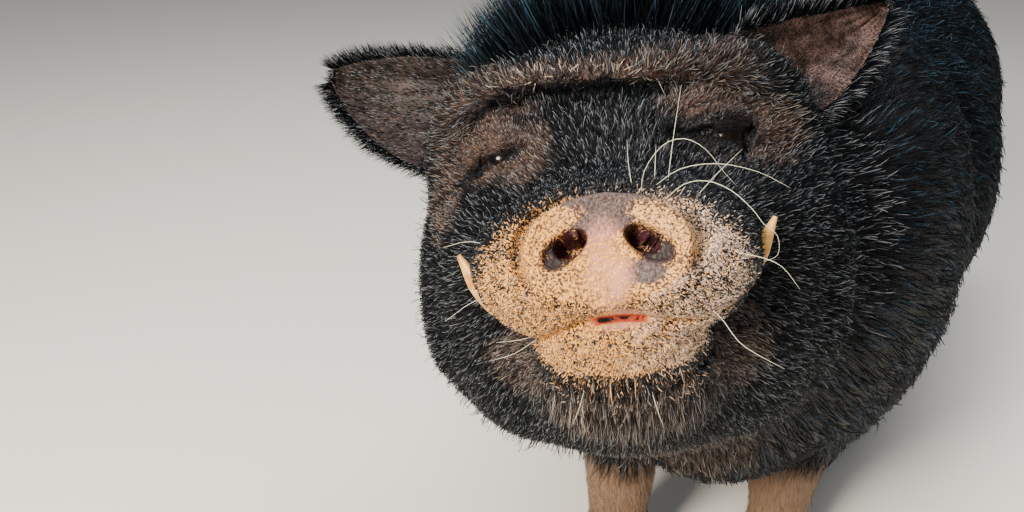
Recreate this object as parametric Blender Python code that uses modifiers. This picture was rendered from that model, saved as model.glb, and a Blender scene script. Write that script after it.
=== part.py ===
"""Domestic pig: a pot-bellied boar, life size, standing with its head raised and turned.

The body faces -Y, its left side is +X and the ground is z = 0. Soft masses are ellipsoids and
rounded cones that melt into one another. A Remesh modifier joins their meshes, each vertex is
then moved to where the blended masses have their surface, the locks of the coat are joined on,
and thin cuts part the body into its named pieces. All lengths are metres.
"""

import math

import bmesh
import bpy
import numpy as np
from mathutils import Matrix, Vector
from mathutils.bvhtree import BVHTree

# The gap between pieces that touch, and how fast the spine turns along the body
GAP = 0.0003
EAR_GAP = 0.00036
SPINE_BEND = 0.19

# The head: the centre of the snout disc, and how the head is turned
HEAD_PLACE = Vector((0.018, -0.641, 0.455))
HEAD_YAW = math.radians(16.5)
HEAD_PITCH = math.radians(25.5)
HEAD_ROLL = math.radians(9.5)
HEAD_TURN = (
    Matrix.Rotation(HEAD_YAW, 3, "Z")
    @ Matrix.Rotation(-HEAD_PITCH, 3, "X")
    @ Matrix.Rotation(-HEAD_ROLL, 3, "Y")
)
HEAD_FRAME = Matrix.Translation(HEAD_PLACE) @ HEAD_TURN.to_4x4()

# Feet: the middle of each sole, left and right differ by the stride
FORE_SPREAD, FORE_Y, FORE_STRIDE = 0.070, -0.360, 0.038
HIND_SPREAD, HIND_Y, HIND_STRIDE = 0.125, 0.350, -0.030
HOOF_HEIGHT, HOOF_SOLE, HOOF_TOP, HOOF_SLANT = 0.030, (0.033, 0.039), (0.029, 0.031), 0.007
CLEFT_FRONT, CLEFT_BACK = 0.0060, 0.0010
FOOT_BOX = (0.12, 0.14)
DEWCLAW_SIZES = (0.0085, 0.0050)
DEWCLAW_ROOT, DEWCLAW_TIP = (0.010, 0.006, 0.064), (0.021, 0.041, 0.044)
TOE_BALL, TOE_APART, TOE_FORWARD = (0.016, 0.026, 0.022), 0.014, 0.006

# The mesh of the body: its grid, and the share of it that is kept
VOXEL = 0.0065
HEAD_TRIANGLES, BODY_TRIANGLES = 2700, 1900
SETTLE_STEP, SETTLE_MOST = 0.0001, 0.006

# How wide the round hollows are where masses melt into one another
MELTS = {
    "trunk": 0.060, "toes": 0.014, "leg": 0.030, "tail": 0.020, "neck": 0.060, "head": 0.035,
    "face": 0.026, "chin": 0.020, "mouth": 0.003, "brow": 0.018, "brow_crease": 0.007,
    "jowl": 0.016, "cheek": 0.024, "lid": 0.005, "disc": 0.004,
}


def ball(centre, radii, lean=0.0, swing=0.0):
    """An ellipsoid. It leans about X and swings about Z, in degrees, for the left side."""
    turn = Matrix.Rotation(math.radians(swing), 3, "Z") @ Matrix.Rotation(math.radians(lean), 3, "X")
    return {"centre": Vector(centre), "radii": Vector(radii), "turn": turn}


def chain(points, radii):
    """A tube of rounded cones end to end, along a smooth curve through the points."""
    steps = 3
    points = [Vector(point) for point in points]
    ends = [points[0] * 2 - points[1]] + points + [points[-1] * 2 - points[-2]]
    path, sizes = [], []
    for i in range(len(points) - 1):
        before, start, end, after = ends[i : i + 4]
        for step in range(steps):
            t = step / steps
            bend = (2 * before - 5 * start + 4 * end - after) * t**2
            turn = (3 * start - before - 3 * end + after) * t**3
            path.append((2 * start + (end - before) * t + bend + turn) / 2)
            sizes.append(radii[i] + (radii[i + 1] - radii[i]) * t)
    return {"path": path + [points[-1]], "radii": sizes + [radii[-1]]}


def mirrored(form):
    """The same form on the other side of x = 0."""
    flip = Matrix.Scale(-1.0, 3, Vector((1.0, 0.0, 0.0)))
    if "path" in form:
        return {"path": [flip @ point for point in form["path"]], "radii": form["radii"]}
    return {"centre": flip @ form["centre"], "radii": form["radii"], "turn": flip @ form["turn"] @ flip}


def both(*forms):
    """Left forms, with their mirror images."""
    return list(forms) + [mirrored(form) for form in forms]


# The trunk, in the straight body
TRUNK = [
    ball((0.0, -0.300, 0.325), (0.150, 0.180, 0.175)),
    ball((0.0, -0.210, 0.415), (0.112, 0.190, 0.092)),
    ball((0.0, -0.010, 0.315), (0.208, 0.340, 0.170)),
    ball((0.0, 0.020, 0.236), (0.185, 0.290, 0.152)),
    ball((0.0, 0.230, 0.393), (0.140, 0.210, 0.110)),
    ball((0.0, 0.340, 0.350), (0.158, 0.160, 0.150)),
    ball((0.0, -0.375, 0.225), (0.085, 0.090, 0.078)),
    *both(
        ball((0.088, -0.280, 0.330), (0.076, 0.130, 0.150)),
        ball((0.105, 0.200, 0.300), (0.090, 0.200, 0.130)),
        ball((0.092, 0.345, 0.285), (0.084, 0.130, 0.140)),
    ),
]
TAIL = chain(
    [(0.0, 0.470, 0.415), (0.0, 0.524, 0.412), (0.006, 0.556, 0.376), (0.012, 0.562, 0.312),
     (0.015, 0.553, 0.255)],
    [0.030, 0.018, 0.012, 0.010, 0.008],
)


def fore_leg(side):
    """Shoulder, elbow, knee, fetlock and toes of one fore leg."""
    x = FORE_SPREAD
    y = FORE_Y + side * FORE_STRIDE
    bones = chain(
        [(x + 0.018, -0.310, 0.300), (x + 0.010, (y - 0.290) / 2, 0.205), (x, y + 0.012, 0.125),
         (x, y + 0.012, 0.065), (x, y, 0.026)],
        [0.075, 0.056, 0.036, 0.030, 0.029],
    )
    return [bones, *toes(x, y)]


def toes(x, y):
    """The two soft pads above the hooves of a foot."""
    return [ball((x + aside, y - TOE_FORWARD, HOOF_HEIGHT), TOE_BALL) for aside in (-TOE_APART, TOE_APART)]


def hind_leg(side):
    """Hip, stifle, hock, fetlock and toes of one hind leg."""
    x = HIND_SPREAD
    y = HIND_Y + side * HIND_STRIDE
    bones = chain(
        [(x - 0.030, 0.340, 0.300), (x - 0.008, 0.325, 0.215), (x, y + 0.045, 0.142),
         (x, y + 0.024, 0.070), (x, y, 0.026)],
        [0.090, 0.070, 0.036, 0.029, 0.028],
    )
    return [bones, *toes(x, y)]


# The head, in its own frame: the disc's centre is the origin and +Y runs back along the head
FACE = [
    ball((0.0, 0.200, 0.050), (0.105, 0.100, 0.085)),
    ball((0.0, 0.150, 0.045), (0.072, 0.065, 0.050)),
    ball((0.0, 0.082, 0.002), (0.058, 0.078, 0.046)),
    ball((0.0, 0.250, 0.035), (0.122, 0.100, 0.118)),
    *both(
        ball((0.066, 0.142, 0.000), (0.046, 0.058, 0.048)),
        ball((0.041, 0.058, -0.004), (0.037, 0.046, 0.035), swing=26.0),
        ball((0.030, 0.040, -0.019), (0.029, 0.034, 0.024), swing=10.0),
    ),
]
HOOD = [
    ball((0.0, 0.215, 0.075), (0.105, 0.105, 0.098)),
    *both(ball((0.076, 0.205, 0.088), (0.046, 0.066, 0.048))),
    chain(
        [(-0.116, 0.172, 0.058), (-0.113, 0.155, 0.082), (-0.092, 0.138, 0.108), (-0.048, 0.129, 0.116),
         (0.0, 0.127, 0.1165), (0.048, 0.129, 0.116), (0.092, 0.138, 0.108), (0.113, 0.155, 0.082),
         (0.116, 0.172, 0.058)],
        [0.013, 0.016, 0.018, 0.017, 0.016, 0.017, 0.018, 0.016, 0.013],
    ),
]
JAW = [
    ball((0.0, 0.054, -0.043), (0.046, 0.044, 0.023)),
    ball((0.0, 0.110, -0.060), (0.060, 0.080, 0.045)),
]
JOWLS = [
    ball((0.0, 0.200, -0.057), (0.115, 0.120, 0.084)),
    *both(
        ball((0.072, 0.190, -0.015), (0.066, 0.095, 0.108)),
        chain(
            [(0.112, 0.158, 0.060), (0.120, 0.150, 0.030), (0.128, 0.155, -0.010), (0.124, 0.160, -0.060),
             (0.102, 0.185, -0.090)],
            [0.010, 0.012, 0.013, 0.013, 0.006],
        ),
    ),
]
LIDS = both(
    chain(
        [(0.094, 0.142, 0.056), (0.083, 0.122, 0.073), (0.065, 0.1145, 0.0765), (0.049, 0.1165, 0.069),
         (0.040, 0.118, 0.060)],
        [0.0050, 0.0080, 0.0085, 0.0065, 0.0040],
    ),
    chain(
        [(0.040, 0.118, 0.062), (0.052, 0.1145, 0.0545), (0.070, 0.1185, 0.0530), (0.092, 0.138, 0.050)],
        [0.0040, 0.0065, 0.0065, 0.0050],
    ),
)
EYE_PLACE, EYE_RADIUS = Vector((0.0685, 0.1215, 0.0650)), 0.0135
DISC_RADII, DISC_BACK, DISC_ROUND = (0.0425, 0.0275), 0.016, 0.004
NOSTRIL = ball((0.0205, 0.004, 0.001), (0.0085, 0.018, 0.0065), swing=-12.0)
FACE_BACK, HEAD_BACK, HEAD_REACH = 0.170, 0.270, 0.470
NECK_ROOT, NAPE, NECK_RADII = (0.0, -0.230, 0.360), Vector((0.0, 0.235, 0.010)), (0.150, 0.128)

# Cuts between pieces: the middle, the slope and the size of each thin plate
HEAD_CUT = (Vector((-0.030, -0.415, 0.350)), (-0.178, 0.838, -0.514), 0.48)
NECK_CUT = (Vector((0.010, -0.340, 0.350)), (0.0, 0.884, -0.467), 0.48)
NECK_BEND = -0.260
TAIL_CUT = (Vector((0.029, 0.536, 0.402)), (0.0, 0.820, -0.572), 0.062)

# Where each leg leaves the trunk: out from the sole, the share of the sole's place along the
# body and what is added to it, the height, then the slopes outward and back, and the plate's size
LEG_CUTS = {
    "fore": (0.015, 0.5, -0.168, 0.143, 24.0, 4.0, 0.159),
    "hind": (0.008, 0.6, 0.177, 0.147, 15.0, -20.0, 0.162),
}

# Tusks: the lower ones curve out and up beside the lips, the upper ones are short and blunt
TUSKS = {
    "tusk_lower": chain(
        [(0.056, 0.078, -0.030), (0.070, 0.068, -0.021), (0.0795, 0.062, -0.008), (0.0885, 0.060, 0.009)],
        [0.0068, 0.0068, 0.0056, 0.0013],
    ),
    "tusk_upper": chain(
        [(0.056, 0.090, -0.002), (0.069, 0.080, 0.004), (0.0755, 0.074, 0.013)],
        [0.0055, 0.0050, 0.0018],
    ),
}

# Ears: the lower and the upper edge of each, from the root by a bend to the tip, in the head's
# frame and as if both were on the left
EARS = {
    "l": (
        ((0.104, 0.148, 0.072), (0.152, 0.168, 0.074), (0.201, 0.232, 0.162)),
        ((0.082, 0.150, 0.138), (0.124, 0.178, 0.151), (0.197, 0.232, 0.170)),
    ),
    "r": (
        ((0.100, 0.215, 0.064), (0.188, 0.193, 0.074), (0.230, 0.237, 0.162)),
        ((0.092, 0.215, 0.154), (0.165, 0.203, 0.174), (0.226, 0.237, 0.170)),
    ),
}
EAR_CUP, EAR_FLATTER, EAR_THICK, EAR_GRID = 0.026, 0.75, 0.0045, (8, 6)

# Locks of the long coat: length, width, how far the tip stands off the skin, and thickness
LOCKS = {
    "crown": (0.046, 0.026, 0.044, 0.0060),
    "mane": (0.056, 0.028, 0.038, 0.0060),
    "back": (0.056, 0.030, 0.016, 0.0055),
    "beard": (0.026, 0.015, 0.009, 0.0045),
    "tail": (0.048, 0.013, 0.010, 0.0045),
}
LOCK_SINK, LOCK_SEED, LOCK_SIZES = 0.007, 7, (0.85, 1.12)
LOCK_BENDS = ((0.4, 0.75), (1.0, 1.0))
LOCK_SHAPE = ((0.0, 0.75), (0.33, 1.0), (0.62, 0.85), (0.85, 0.45))

# Staggered rows of locks: rows, columns, the first row, and the steps back and across
PATCHES = {
    "crown": (5, 7, 0.158, 0.023, 0.0215),
    "mane": (8, 4, -0.405, 0.027, 0.027),
    "back": (19, 2, -0.190, 0.032, 0.027),
    "beard": (3, 6, 0.022, 0.015, 0.0125),
}
TAIL_LOCKS, TAIL_TUFT = 7, 0.02

# How much each patch of locks fans out to the sides, and strays
FANS, STRAY = {"crown": 3.0, "mane": 2.0, "back": 2.0, "beard": 6.0}, 0.09

# Colours, roughness
BLACK_COAT = ("26252b", 0.6)
PALE_SOCK = ("c8b5a5", 0.7)
HORN = ("4a423c", 0.45)
IVORY = ("d8c49a", 0.35)
EYE_BROWN = ("1d1310", 0.1)


def distance(points, form):
    """About how far points lie outside a form: less than nothing inside it."""
    if "centre" in form:
        local = (points - np.array(form["centre"])) @ np.array(form["turn"])
        radii = np.array(form["radii"])
        near = np.linalg.norm(local / radii, axis=1)
        slope = np.linalg.norm(local / radii**2, axis=1)
        return near * (near - 1.0) / np.maximum(slope, 1e-9)
    path, radii = np.array(form["path"]), form["radii"]
    nearest = np.full(len(points), np.inf)
    for i in range(len(path) - 1):
        along = path[i + 1] - path[i]
        share = np.clip((points - path[i]) @ along / (along @ along), 0.0, 1.0)
        reach = np.linalg.norm(points - path[i] - share[:, None] * along, axis=1)
        nearest = np.minimum(nearest, reach - radii[i] - share * (radii[i + 1] - radii[i]))
    return nearest


def melt(a, b, width):
    """The nearer of two distances, rounded over a width where they are alike."""
    share = np.clip(0.5 + 0.5 * (b - a) / width, 0.0, 1.0)
    return b * (1.0 - share) + a * share - width * share * (1.0 - share)


def melted(points, forms, width, start=None):
    """All the forms melted together, onto a start if there is one."""
    for form in forms:
        found = distance(points, form)
        start = found if start is None else melt(start, found, width)
    return start


def disc_distance(points):
    """The snout disc: a short oval plug with a rounded rim."""
    wide, high = DISC_RADII
    local = points[:, [0, 2]] / (wide, high)
    near = np.linalg.norm(local, axis=1)
    slope = np.linalg.norm(local / (wide, high), axis=1)
    across = near * (near - 1.0) / np.maximum(slope, 1e-9) + DISC_ROUND
    deep = np.abs(points[:, 1] - DISC_BACK / 2) - DISC_BACK / 2 + DISC_ROUND
    outside = np.linalg.norm(np.maximum(np.stack([across, deep]), 0.0), axis=0)
    return np.minimum(np.maximum(across, deep), 0.0) + outside - DISC_ROUND


def head_distance(points):
    """The head, from points in its own frame."""
    face = melted(points, FACE, MELTS["face"])
    face = melt(face, melted(points, JAW, MELTS["chin"]), MELTS["mouth"])
    face = melt(face, melted(points, HOOD, MELTS["brow"]), MELTS["brow_crease"])
    face = melt(face, melted(points, JOWLS, MELTS["jowl"]), MELTS["cheek"])
    face = melted(points, LIDS, MELTS["lid"], face)
    return melt(face, disc_distance(points), MELTS["disc"])


def straightened(points):
    """Points of the body as they would lie if its spine were straight."""
    moved = points.copy()
    moved[:, 0] -= 0.5 * SPINE_BEND * points[:, 1] ** 2
    return moved


def legs():
    """The four legs, each a list of forms in the straight body."""
    left = [fore_leg(1.0), hind_leg(1.0)]
    right = [[mirrored(form) for form in leg] for leg in (fore_leg(-1.0), hind_leg(-1.0))]
    return left + right


def neck():
    """The neck, from the chest to the back of the head."""
    return chain([NECK_ROOT, HEAD_FRAME @ NAPE], NECK_RADII)


def body_distance(points):
    """The whole body."""
    straight = straightened(points)
    body = melted(straight, TRUNK, MELTS["trunk"])
    for leg in legs():
        body = melt(body, melted(straight, leg, MELTS["toes"]), MELTS["leg"])
    body = melt(body, distance(straight, TAIL), MELTS["tail"])
    body = melt(body, distance(points, neck()), MELTS["neck"])
    local = (points - np.array(HEAD_PLACE)) @ np.array(HEAD_TURN)
    near = local[:, 1] < HEAD_REACH
    body[near] = melt(body[near], head_distance(local[near]), MELTS["head"])
    return body


def settle(points, rounds=4):
    """Moves points to where the body's distance is nothing, along its slope."""
    for _ in range(rounds):
        here = body_distance(points)
        moves = SETTLE_STEP * np.eye(3)
        slope = np.stack([body_distance(points + move) - here for move in moves], axis=1) / SETTLE_STEP
        steep = np.maximum((slope**2).sum(axis=1), 0.05)
        points = points - np.clip(here / steep, -SETTLE_MOST, SETTLE_MOST)[:, None] * slope
    return points


def add_form(mesh, form, frame=Matrix.Identity(4), grow=0.0, detail=2):
    """Adds a form to a bmesh, grown a little all round: a ball, or a tube with round ends."""
    if "centre" in form:
        scale = Matrix.Diagonal(form["radii"] + Vector((grow, grow, grow))).to_4x4()
        place = Matrix.Translation(form["centre"]) @ form["turn"].to_4x4() @ scale
        bmesh.ops.create_icosphere(mesh, subdivisions=detail + 1, radius=1.0, matrix=frame @ place)
        return
    path, radii = form["path"], form["radii"]
    for i, point in enumerate(path):
        place = frame @ Matrix.Translation(point)
        bmesh.ops.create_icosphere(mesh, subdivisions=detail, radius=radii[i] + grow, matrix=place)
    for i in range(len(path) - 1):
        along = path[i + 1] - path[i]
        middle = Matrix.Translation((path[i] + path[i + 1]) / 2)
        turn = along.to_track_quat("Z", "Y").to_matrix().to_4x4()
        bmesh.ops.create_cone(
            mesh, cap_ends=True, segments=16, radius1=radii[i] + grow, radius2=radii[i + 1] + grow,
            depth=along.length, matrix=frame @ middle @ turn,
        )


def tube(mesh, form, frame, sides=10, grow=0.0):
    """Adds a closed tube along a chain's path to a bmesh, with a flat root and a small tip."""
    path = [frame @ point for point in form["path"]]
    path[0] += (path[0] - path[1]).normalized() * grow
    path[-1] += (path[-1] - path[-2]).normalized() * grow
    rings = []
    for i, point in enumerate(path):
        along = (path[min(i + 1, len(path) - 1)] - path[max(i - 1, 0)]).normalized()
        turn = along.to_track_quat("Z", "Y").to_matrix()
        radius = form["radii"][i] + grow
        angles = [2 * math.pi * side / sides for side in range(sides)]
        ring = [turn @ Vector((math.cos(a), math.sin(a), 0.0)) * radius + point for a in angles]
        rings.append([mesh.verts.new(place) for place in ring])
    for ring, after in zip(rings, rings[1:], strict=False):
        for side in range(sides):
            other = (side + 1) % sides
            mesh.faces.new((ring[side], ring[other], after[other]))
            mesh.faces.new((ring[side], after[other], after[side]))
    mesh.faces.new(rings[0][::-1])
    mesh.faces.new(rings[-1])


def linked(name, mesh, collection):
    """A new object in a collection, from a bmesh or a mesh."""
    if isinstance(mesh, bmesh.types.BMesh):
        data = bpy.data.meshes.new(name)
        mesh.to_mesh(data)
        mesh.free()
        mesh = data
    made = bpy.data.objects.new(name, mesh)
    collection.objects.link(made)
    return made


def apply_modifiers(made):
    """Replaces an object's mesh by what its modifiers make of it."""
    graph = bpy.context.evaluated_depsgraph_get()
    mesh = bpy.data.meshes.new_from_object(made.evaluated_get(graph))
    made.modifiers.clear()
    made.data = mesh


def cut(made, operation, collection):
    """Cuts an object with a collection's objects, or joins them on, and removes them."""
    knife = made.modifiers.new("Boolean", "BOOLEAN")
    knife.operation = operation
    knife.use_self = True
    knife.operand_type = "COLLECTION"
    knife.collection = collection
    apply_modifiers(made)
    for used in list(collection.objects):
        bpy.data.objects.remove(used)


def body_mesh(collection):
    """One closed mesh of the whole animal, with its face finer than the rest."""
    rough = bmesh.new()
    for form in TRUNK + [TAIL] + [form for leg in legs() for form in leg]:
        add_form(rough, form)
    for vertex in rough.verts:
        vertex.co.x += 0.5 * SPINE_BEND * vertex.co.y ** 2
    add_form(rough, neck())
    for form in FACE + HOOD + JAW + JOWLS + LIDS:
        add_form(rough, form, HEAD_FRAME)
    plug = Matrix.Translation((0.0, DISC_BACK / 2, 0.0)) @ Matrix.Rotation(math.radians(90.0), 4, "X")
    oval = Matrix.Diagonal((DISC_RADII[0], DISC_RADII[1], 1.0, 1.0))
    bmesh.ops.create_cone(
        rough, cap_ends=True, segments=32, radius1=1.0, radius2=1.0, depth=DISC_BACK,
        matrix=HEAD_FRAME @ plug @ oval,
    )
    body = linked("body", rough, collection)
    remesh = body.modifiers.new("Remesh", "REMESH")
    remesh.mode = "VOXEL"
    remesh.voxel_size = VOXEL
    apply_modifiers(body)
    refine_face(body)
    points = np.empty(len(body.data.vertices) * 3)
    body.data.vertices.foreach_get("co", points)
    points = settle(points.reshape(-1, 3))
    body.data.vertices.foreach_set("co", points.ravel())
    thin(body, points)
    return body


def refine_face(body):
    """Halves the edges of the face, for its folds."""
    mesh = bmesh.new()
    mesh.from_mesh(body.data)
    to_head = HEAD_FRAME.inverted()
    edges = [
        edge for edge in mesh.edges
        if all((to_head @ vertex.co).y < FACE_BACK for vertex in edge.verts)
    ]
    bmesh.ops.subdivide_edges(mesh, edges=edges, cuts=1, use_grid_fill=True)
    mesh.to_mesh(body.data)
    mesh.free()


def thin(body, points):
    """Takes most triangles away, first from the body and then from the head."""
    back = (points - np.array(HEAD_PLACE)) @ np.array(HEAD_TURN)[:, 1]
    head = int(sum(back[polygon.vertices[0]] < HEAD_BACK for polygon in body.data.polygons)) * 2
    total = len(body.data.polygons) * 2
    for name, chosen, ratio in (
        ("body", back >= HEAD_BACK, (head + BODY_TRIANGLES) / total),
        ("head", back < HEAD_BACK, (HEAD_TRIANGLES + BODY_TRIANGLES) / (head + BODY_TRIANGLES)),
    ):
        group = body.vertex_groups.new(name=name)
        group.add(np.nonzero(chosen)[0].tolist(), 1.0, "REPLACE")
        decimate = body.modifiers.new(name, "DECIMATE")
        decimate.ratio = ratio
        decimate.vertex_group = name
        decimate.use_collapse_triangulate = True
    apply_modifiers(body)


def lock(mesh, tree, root, lie, kind, size):
    """Adds a flat, tapered, bending lock to a bmesh: its root sunk in, its tip over the skin."""
    length, width, stand, thick = (value * size for value in LOCKS[kind])
    place, normal, _, _ = tree.find_nearest(root)
    bends = [place - normal * LOCK_SINK]
    for share, lift in LOCK_BENDS:
        under, up, _, _ = tree.find_nearest(place + lie * length * share)
        bends.append(under + (up + normal).normalized() * stand * lift + lie * length * share * 0.15)
    across = lie.cross(normal).normalized()
    rings = []
    for share, wide in LOCK_SHAPE:
        first, last = bends[0].lerp(bends[1], share), bends[1].lerp(bends[2], share)
        middle = first.lerp(last, share)
        up = across.cross(last - first).normalized() * thick / 2
        half = across * width * wide / 2
        rings.append([mesh.verts.new(middle + side) for side in (-half, up * wide, half, -up * wide)])
    tip = mesh.verts.new(bends[2])
    faces = [mesh.faces.new(rings[0])]
    for ring, after in zip(rings, rings[1:], strict=False):
        for side in range(4):
            other = (side + 1) % 4
            faces.append(mesh.faces.new((ring[side], ring[other], after[other])))
            faces.append(mesh.faces.new((ring[side], after[other], after[side])))
    for side in range(4):
        faces.append(mesh.faces.new((rings[-1][side], rings[-1][(side + 1) % 4], tip)))
    bmesh.ops.recalc_face_normals(mesh, faces=faces)


def middle_line(y):
    """Where the middle of the neck and back runs, across the body."""
    if y > NECK_BEND:
        return 0.5 * SPINE_BEND * y**2
    nape = HEAD_FRAME @ NAPE
    start = 0.5 * SPINE_BEND * NECK_BEND**2
    return start + (nape.x - start) * (NECK_BEND - y) / (NECK_BEND - nape.y)


def patch(kind, chance):
    """Each lock of a patch: how far across and back its root is, and how far it leans aside."""
    rows, columns, first, back, across = PATCHES[kind]
    for row in range(rows):
        count = columns - row % 2
        for column in range(count):
            x = (column - (count - 1) / 2) * across
            yield x, first + row * back, FANS[kind] * x + chance.normal(0.0, STRAY)


def lock_roots(chance):
    """A place near the root, the lie and the kind of each lock."""
    for kind, height, fall in (("crown", 0.200, 0.0), ("beard", -0.085, -0.6)):
        for x, y, lean in patch(kind, chance):
            lie = HEAD_TURN @ Vector((lean, 1.0, fall)).normalized()
            yield HEAD_FRAME @ Vector((x, y, height)), lie, kind
    for kind in ("mane", "back"):
        for x, y, lean in patch(kind, chance):
            yield Vector((middle_line(y) + x, y, 0.56)), Vector((lean, 1.0, -0.1)).normalized(), kind
    for index in range(TAIL_LOCKS):
        turn = 2 * math.pi * index / TAIL_LOCKS
        aside = Vector((math.cos(turn), math.sin(turn), 0.0))
        lie = Vector((aside.x * 0.25, aside.y * 0.25, -1.0)).normalized()
        yield bent(TAIL["path"][-1 - index % 3]) + aside * TAIL_TUFT, lie, "tail"


def add_locks(body, collection):
    """Joins the locks of the long coat onto the body."""
    chance = np.random.default_rng(LOCK_SEED)
    shape = bmesh.new()
    shape.from_mesh(body.data)
    tree = BVHTree.FromBMesh(shape)
    shape.free()
    for root, lie, kind in lock_roots(chance):
        mesh = bmesh.new()
        lock(mesh, tree, root, lie, kind, chance.uniform(*LOCK_SIZES))
        linked("lock", mesh, collection)
    cut(body, "UNION", collection)


def slab(mesh, centre, normal, size, thick=GAP):
    """Adds a thin plate to a bmesh, to cut with."""
    turn = Vector(normal).to_track_quat("Z", "Y").to_matrix().to_4x4()
    scale = Matrix.Diagonal((size, size, thick, 1.0))
    bmesh.ops.create_cube(mesh, size=1.0, matrix=Matrix.Translation(centre) @ turn @ scale)


def bent(point):
    """A point of the straight body where the bent spine takes it."""
    return Vector((point[0] + 0.5 * SPINE_BEND * point[1] ** 2, point[1], point[2]))


def feet():
    """Each foot's name, its side (+1 left) and the middle of its sole in the straight body."""
    for name, spread, y, stride in (
        ("fore", FORE_SPREAD, FORE_Y, FORE_STRIDE),
        ("hind", HIND_SPREAD, HIND_Y, HIND_STRIDE),
    ):
        for letter, side in (("l", 1.0), ("r", -1.0)):
            yield f"{name}_{letter}", side, Vector((side * spread, y + side * stride, 0.0))


def leg_cut(name, side, sole):
    """The cut at the top of a leg: its middle, its slope, rising outward, and its size."""
    out, share, along, height, outward, back, size = LEG_CUTS[name[:4]]
    centre = (sole.x + side * out, sole.y * share + along, height)
    outward, back = math.radians(outward), math.radians(back)
    slope = (-side * math.sin(outward), math.sin(back), math.cos(outward) * math.cos(back))
    return bent(centre), slope, size


def dewclaws():
    """Each dewclaw's name and its form, behind and above the hooves."""
    for name, side, sole in feet():
        for place, across in (("inner", -side), ("outer", side)):
            ends = [bent(sole + Vector((across * x, y, z))) for x, y, z in (DEWCLAW_ROOT, DEWCLAW_TIP)]
            yield f"dewclaw_{name}_{place}", chain(ends, DEWCLAW_SIZES)


def head_forms():
    """Each eye's and tusk's name and form, in the head's frame."""
    eye = ball(EYE_PLACE, (EYE_RADIUS, EYE_RADIUS, EYE_RADIUS))
    for name, form in {"eye": eye, **TUSKS}.items():
        yield f"{name}_l", form
        yield f"{name}_r", mirrored(form)


def cut_body(body, cutters):
    """Cuts the sockets and nostrils, takes off the feet and parts the body at thin slabs."""
    plates = bmesh.new()
    slab(plates, *HEAD_CUT)
    slab(plates, *NECK_CUT)
    slab(plates, *TAIL_CUT)
    for name, side, sole in feet():
        slab(plates, *leg_cut(name, side, sole))
        box = Matrix.Translation(bent(sole)) @ Matrix.Diagonal((*FOOT_BOX, 2 * HOOF_HEIGHT, 1.0))
        bmesh.ops.create_cube(plates, size=1.0, matrix=box)
    linked("plates", plates, cutters)
    for nostril in both(NOSTRIL):
        hole = bmesh.new()
        add_form(hole, nostril, HEAD_FRAME, detail=1)
        linked("nostril", hole, cutters)
    for _, form in head_forms():
        linked("socket", piece_mesh(form, HEAD_FRAME, GAP), cutters)
    for _, form in dewclaws():
        linked("socket", piece_mesh(form, Matrix.Identity(4), GAP), cutters)
    cut(body, "DIFFERENCE", cutters)


def piece_mesh(form, frame, grow=0.0):
    """A closed mesh of one ball or tube."""
    mesh = bmesh.new()
    if "centre" in form:
        add_form(mesh, form, frame, grow, detail=1)
    else:
        tube(mesh, form, frame, grow=grow)
        bmesh.ops.recalc_face_normals(mesh, faces=mesh.faces)
    return mesh


def ear(side, letter):
    """One ear: a cupped sheet between two curved edges, open to the front."""
    rows, columns = EAR_GRID
    mesh = bmesh.new()
    grid = []
    for row in range(rows + 1):
        u = row / rows
        edges = []
        for start, middle, end in EARS[letter]:
            first, bend = Vector(start).lerp(Vector(middle), u), Vector(middle).lerp(Vector(end), u)
            edges.append(first.lerp(bend, u))
        line = []
        for column in range(columns + 1):
            v = 2.0 * column / columns - 1.0
            point = edges[0].lerp(edges[1], (v + 1.0) / 2.0)
            point.y += EAR_CUP * (1.0 - v * v) * (1.0 - EAR_FLATTER * u)
            point.x *= side
            line.append(mesh.verts.new(HEAD_FRAME @ point))
        grid.append(line)
    for row in range(rows):
        for column in range(columns):
            near, far = grid[row], grid[row + 1]
            corners = [near[column], far[column], far[column + 1], near[column + 1]]
            mesh.faces.new(corners if side > 0 else corners[::-1])
    return mesh


def make_ear(name, side, skin, cutters, collection):
    """An ear as thick as a real one, cut off where it meets the head."""
    made = linked(name, ear(side, name[-1]), collection)
    thick = made.modifiers.new("Solidify", "SOLIDIFY")
    thick.thickness = EAR_THICK
    thick.offset = 0.0
    apply_modifiers(made)
    linked("skin", skin.copy(), cutters)
    cut(made, "DIFFERENCE", cutters)
    keep_largest(made)


def grown_skin(body):
    """A copy of the body's mesh, grown by the gap."""
    mesh = body.data.copy()
    points = np.empty(len(mesh.vertices) * 3)
    normals = np.empty(len(mesh.vertices) * 3)
    mesh.vertices.foreach_get("co", points)
    mesh.vertex_normals.foreach_get("vector", normals)
    mesh.vertices.foreach_set("co", points + EAR_GAP * normals)
    return mesh


def loose_parts(mesh):
    """The closed surfaces of a bmesh, each a list of vertices, the largest first."""
    found, seen = [], set()
    for start in mesh.verts:
        if start in seen:
            continue
        seen.add(start)
        part, front = [start], [start]
        while front:
            edges = front.pop().link_edges
            for vertex in [vertex for edge in edges for vertex in edge.verts]:
                if vertex not in seen:
                    seen.add(vertex)
                    part.append(vertex)
                    front.append(vertex)
        found.append(part)
    return sorted(found, key=len, reverse=True)


def keep_largest(made):
    """Keeps only an object's largest closed surface."""
    mesh = bmesh.new()
    mesh.from_mesh(made.data)
    scraps = [vertex for part in loose_parts(mesh)[1:] for vertex in part]
    bmesh.ops.delete(mesh, geom=scraps, context="VERTS")
    mesh.to_mesh(made.data)
    mesh.free()


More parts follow.
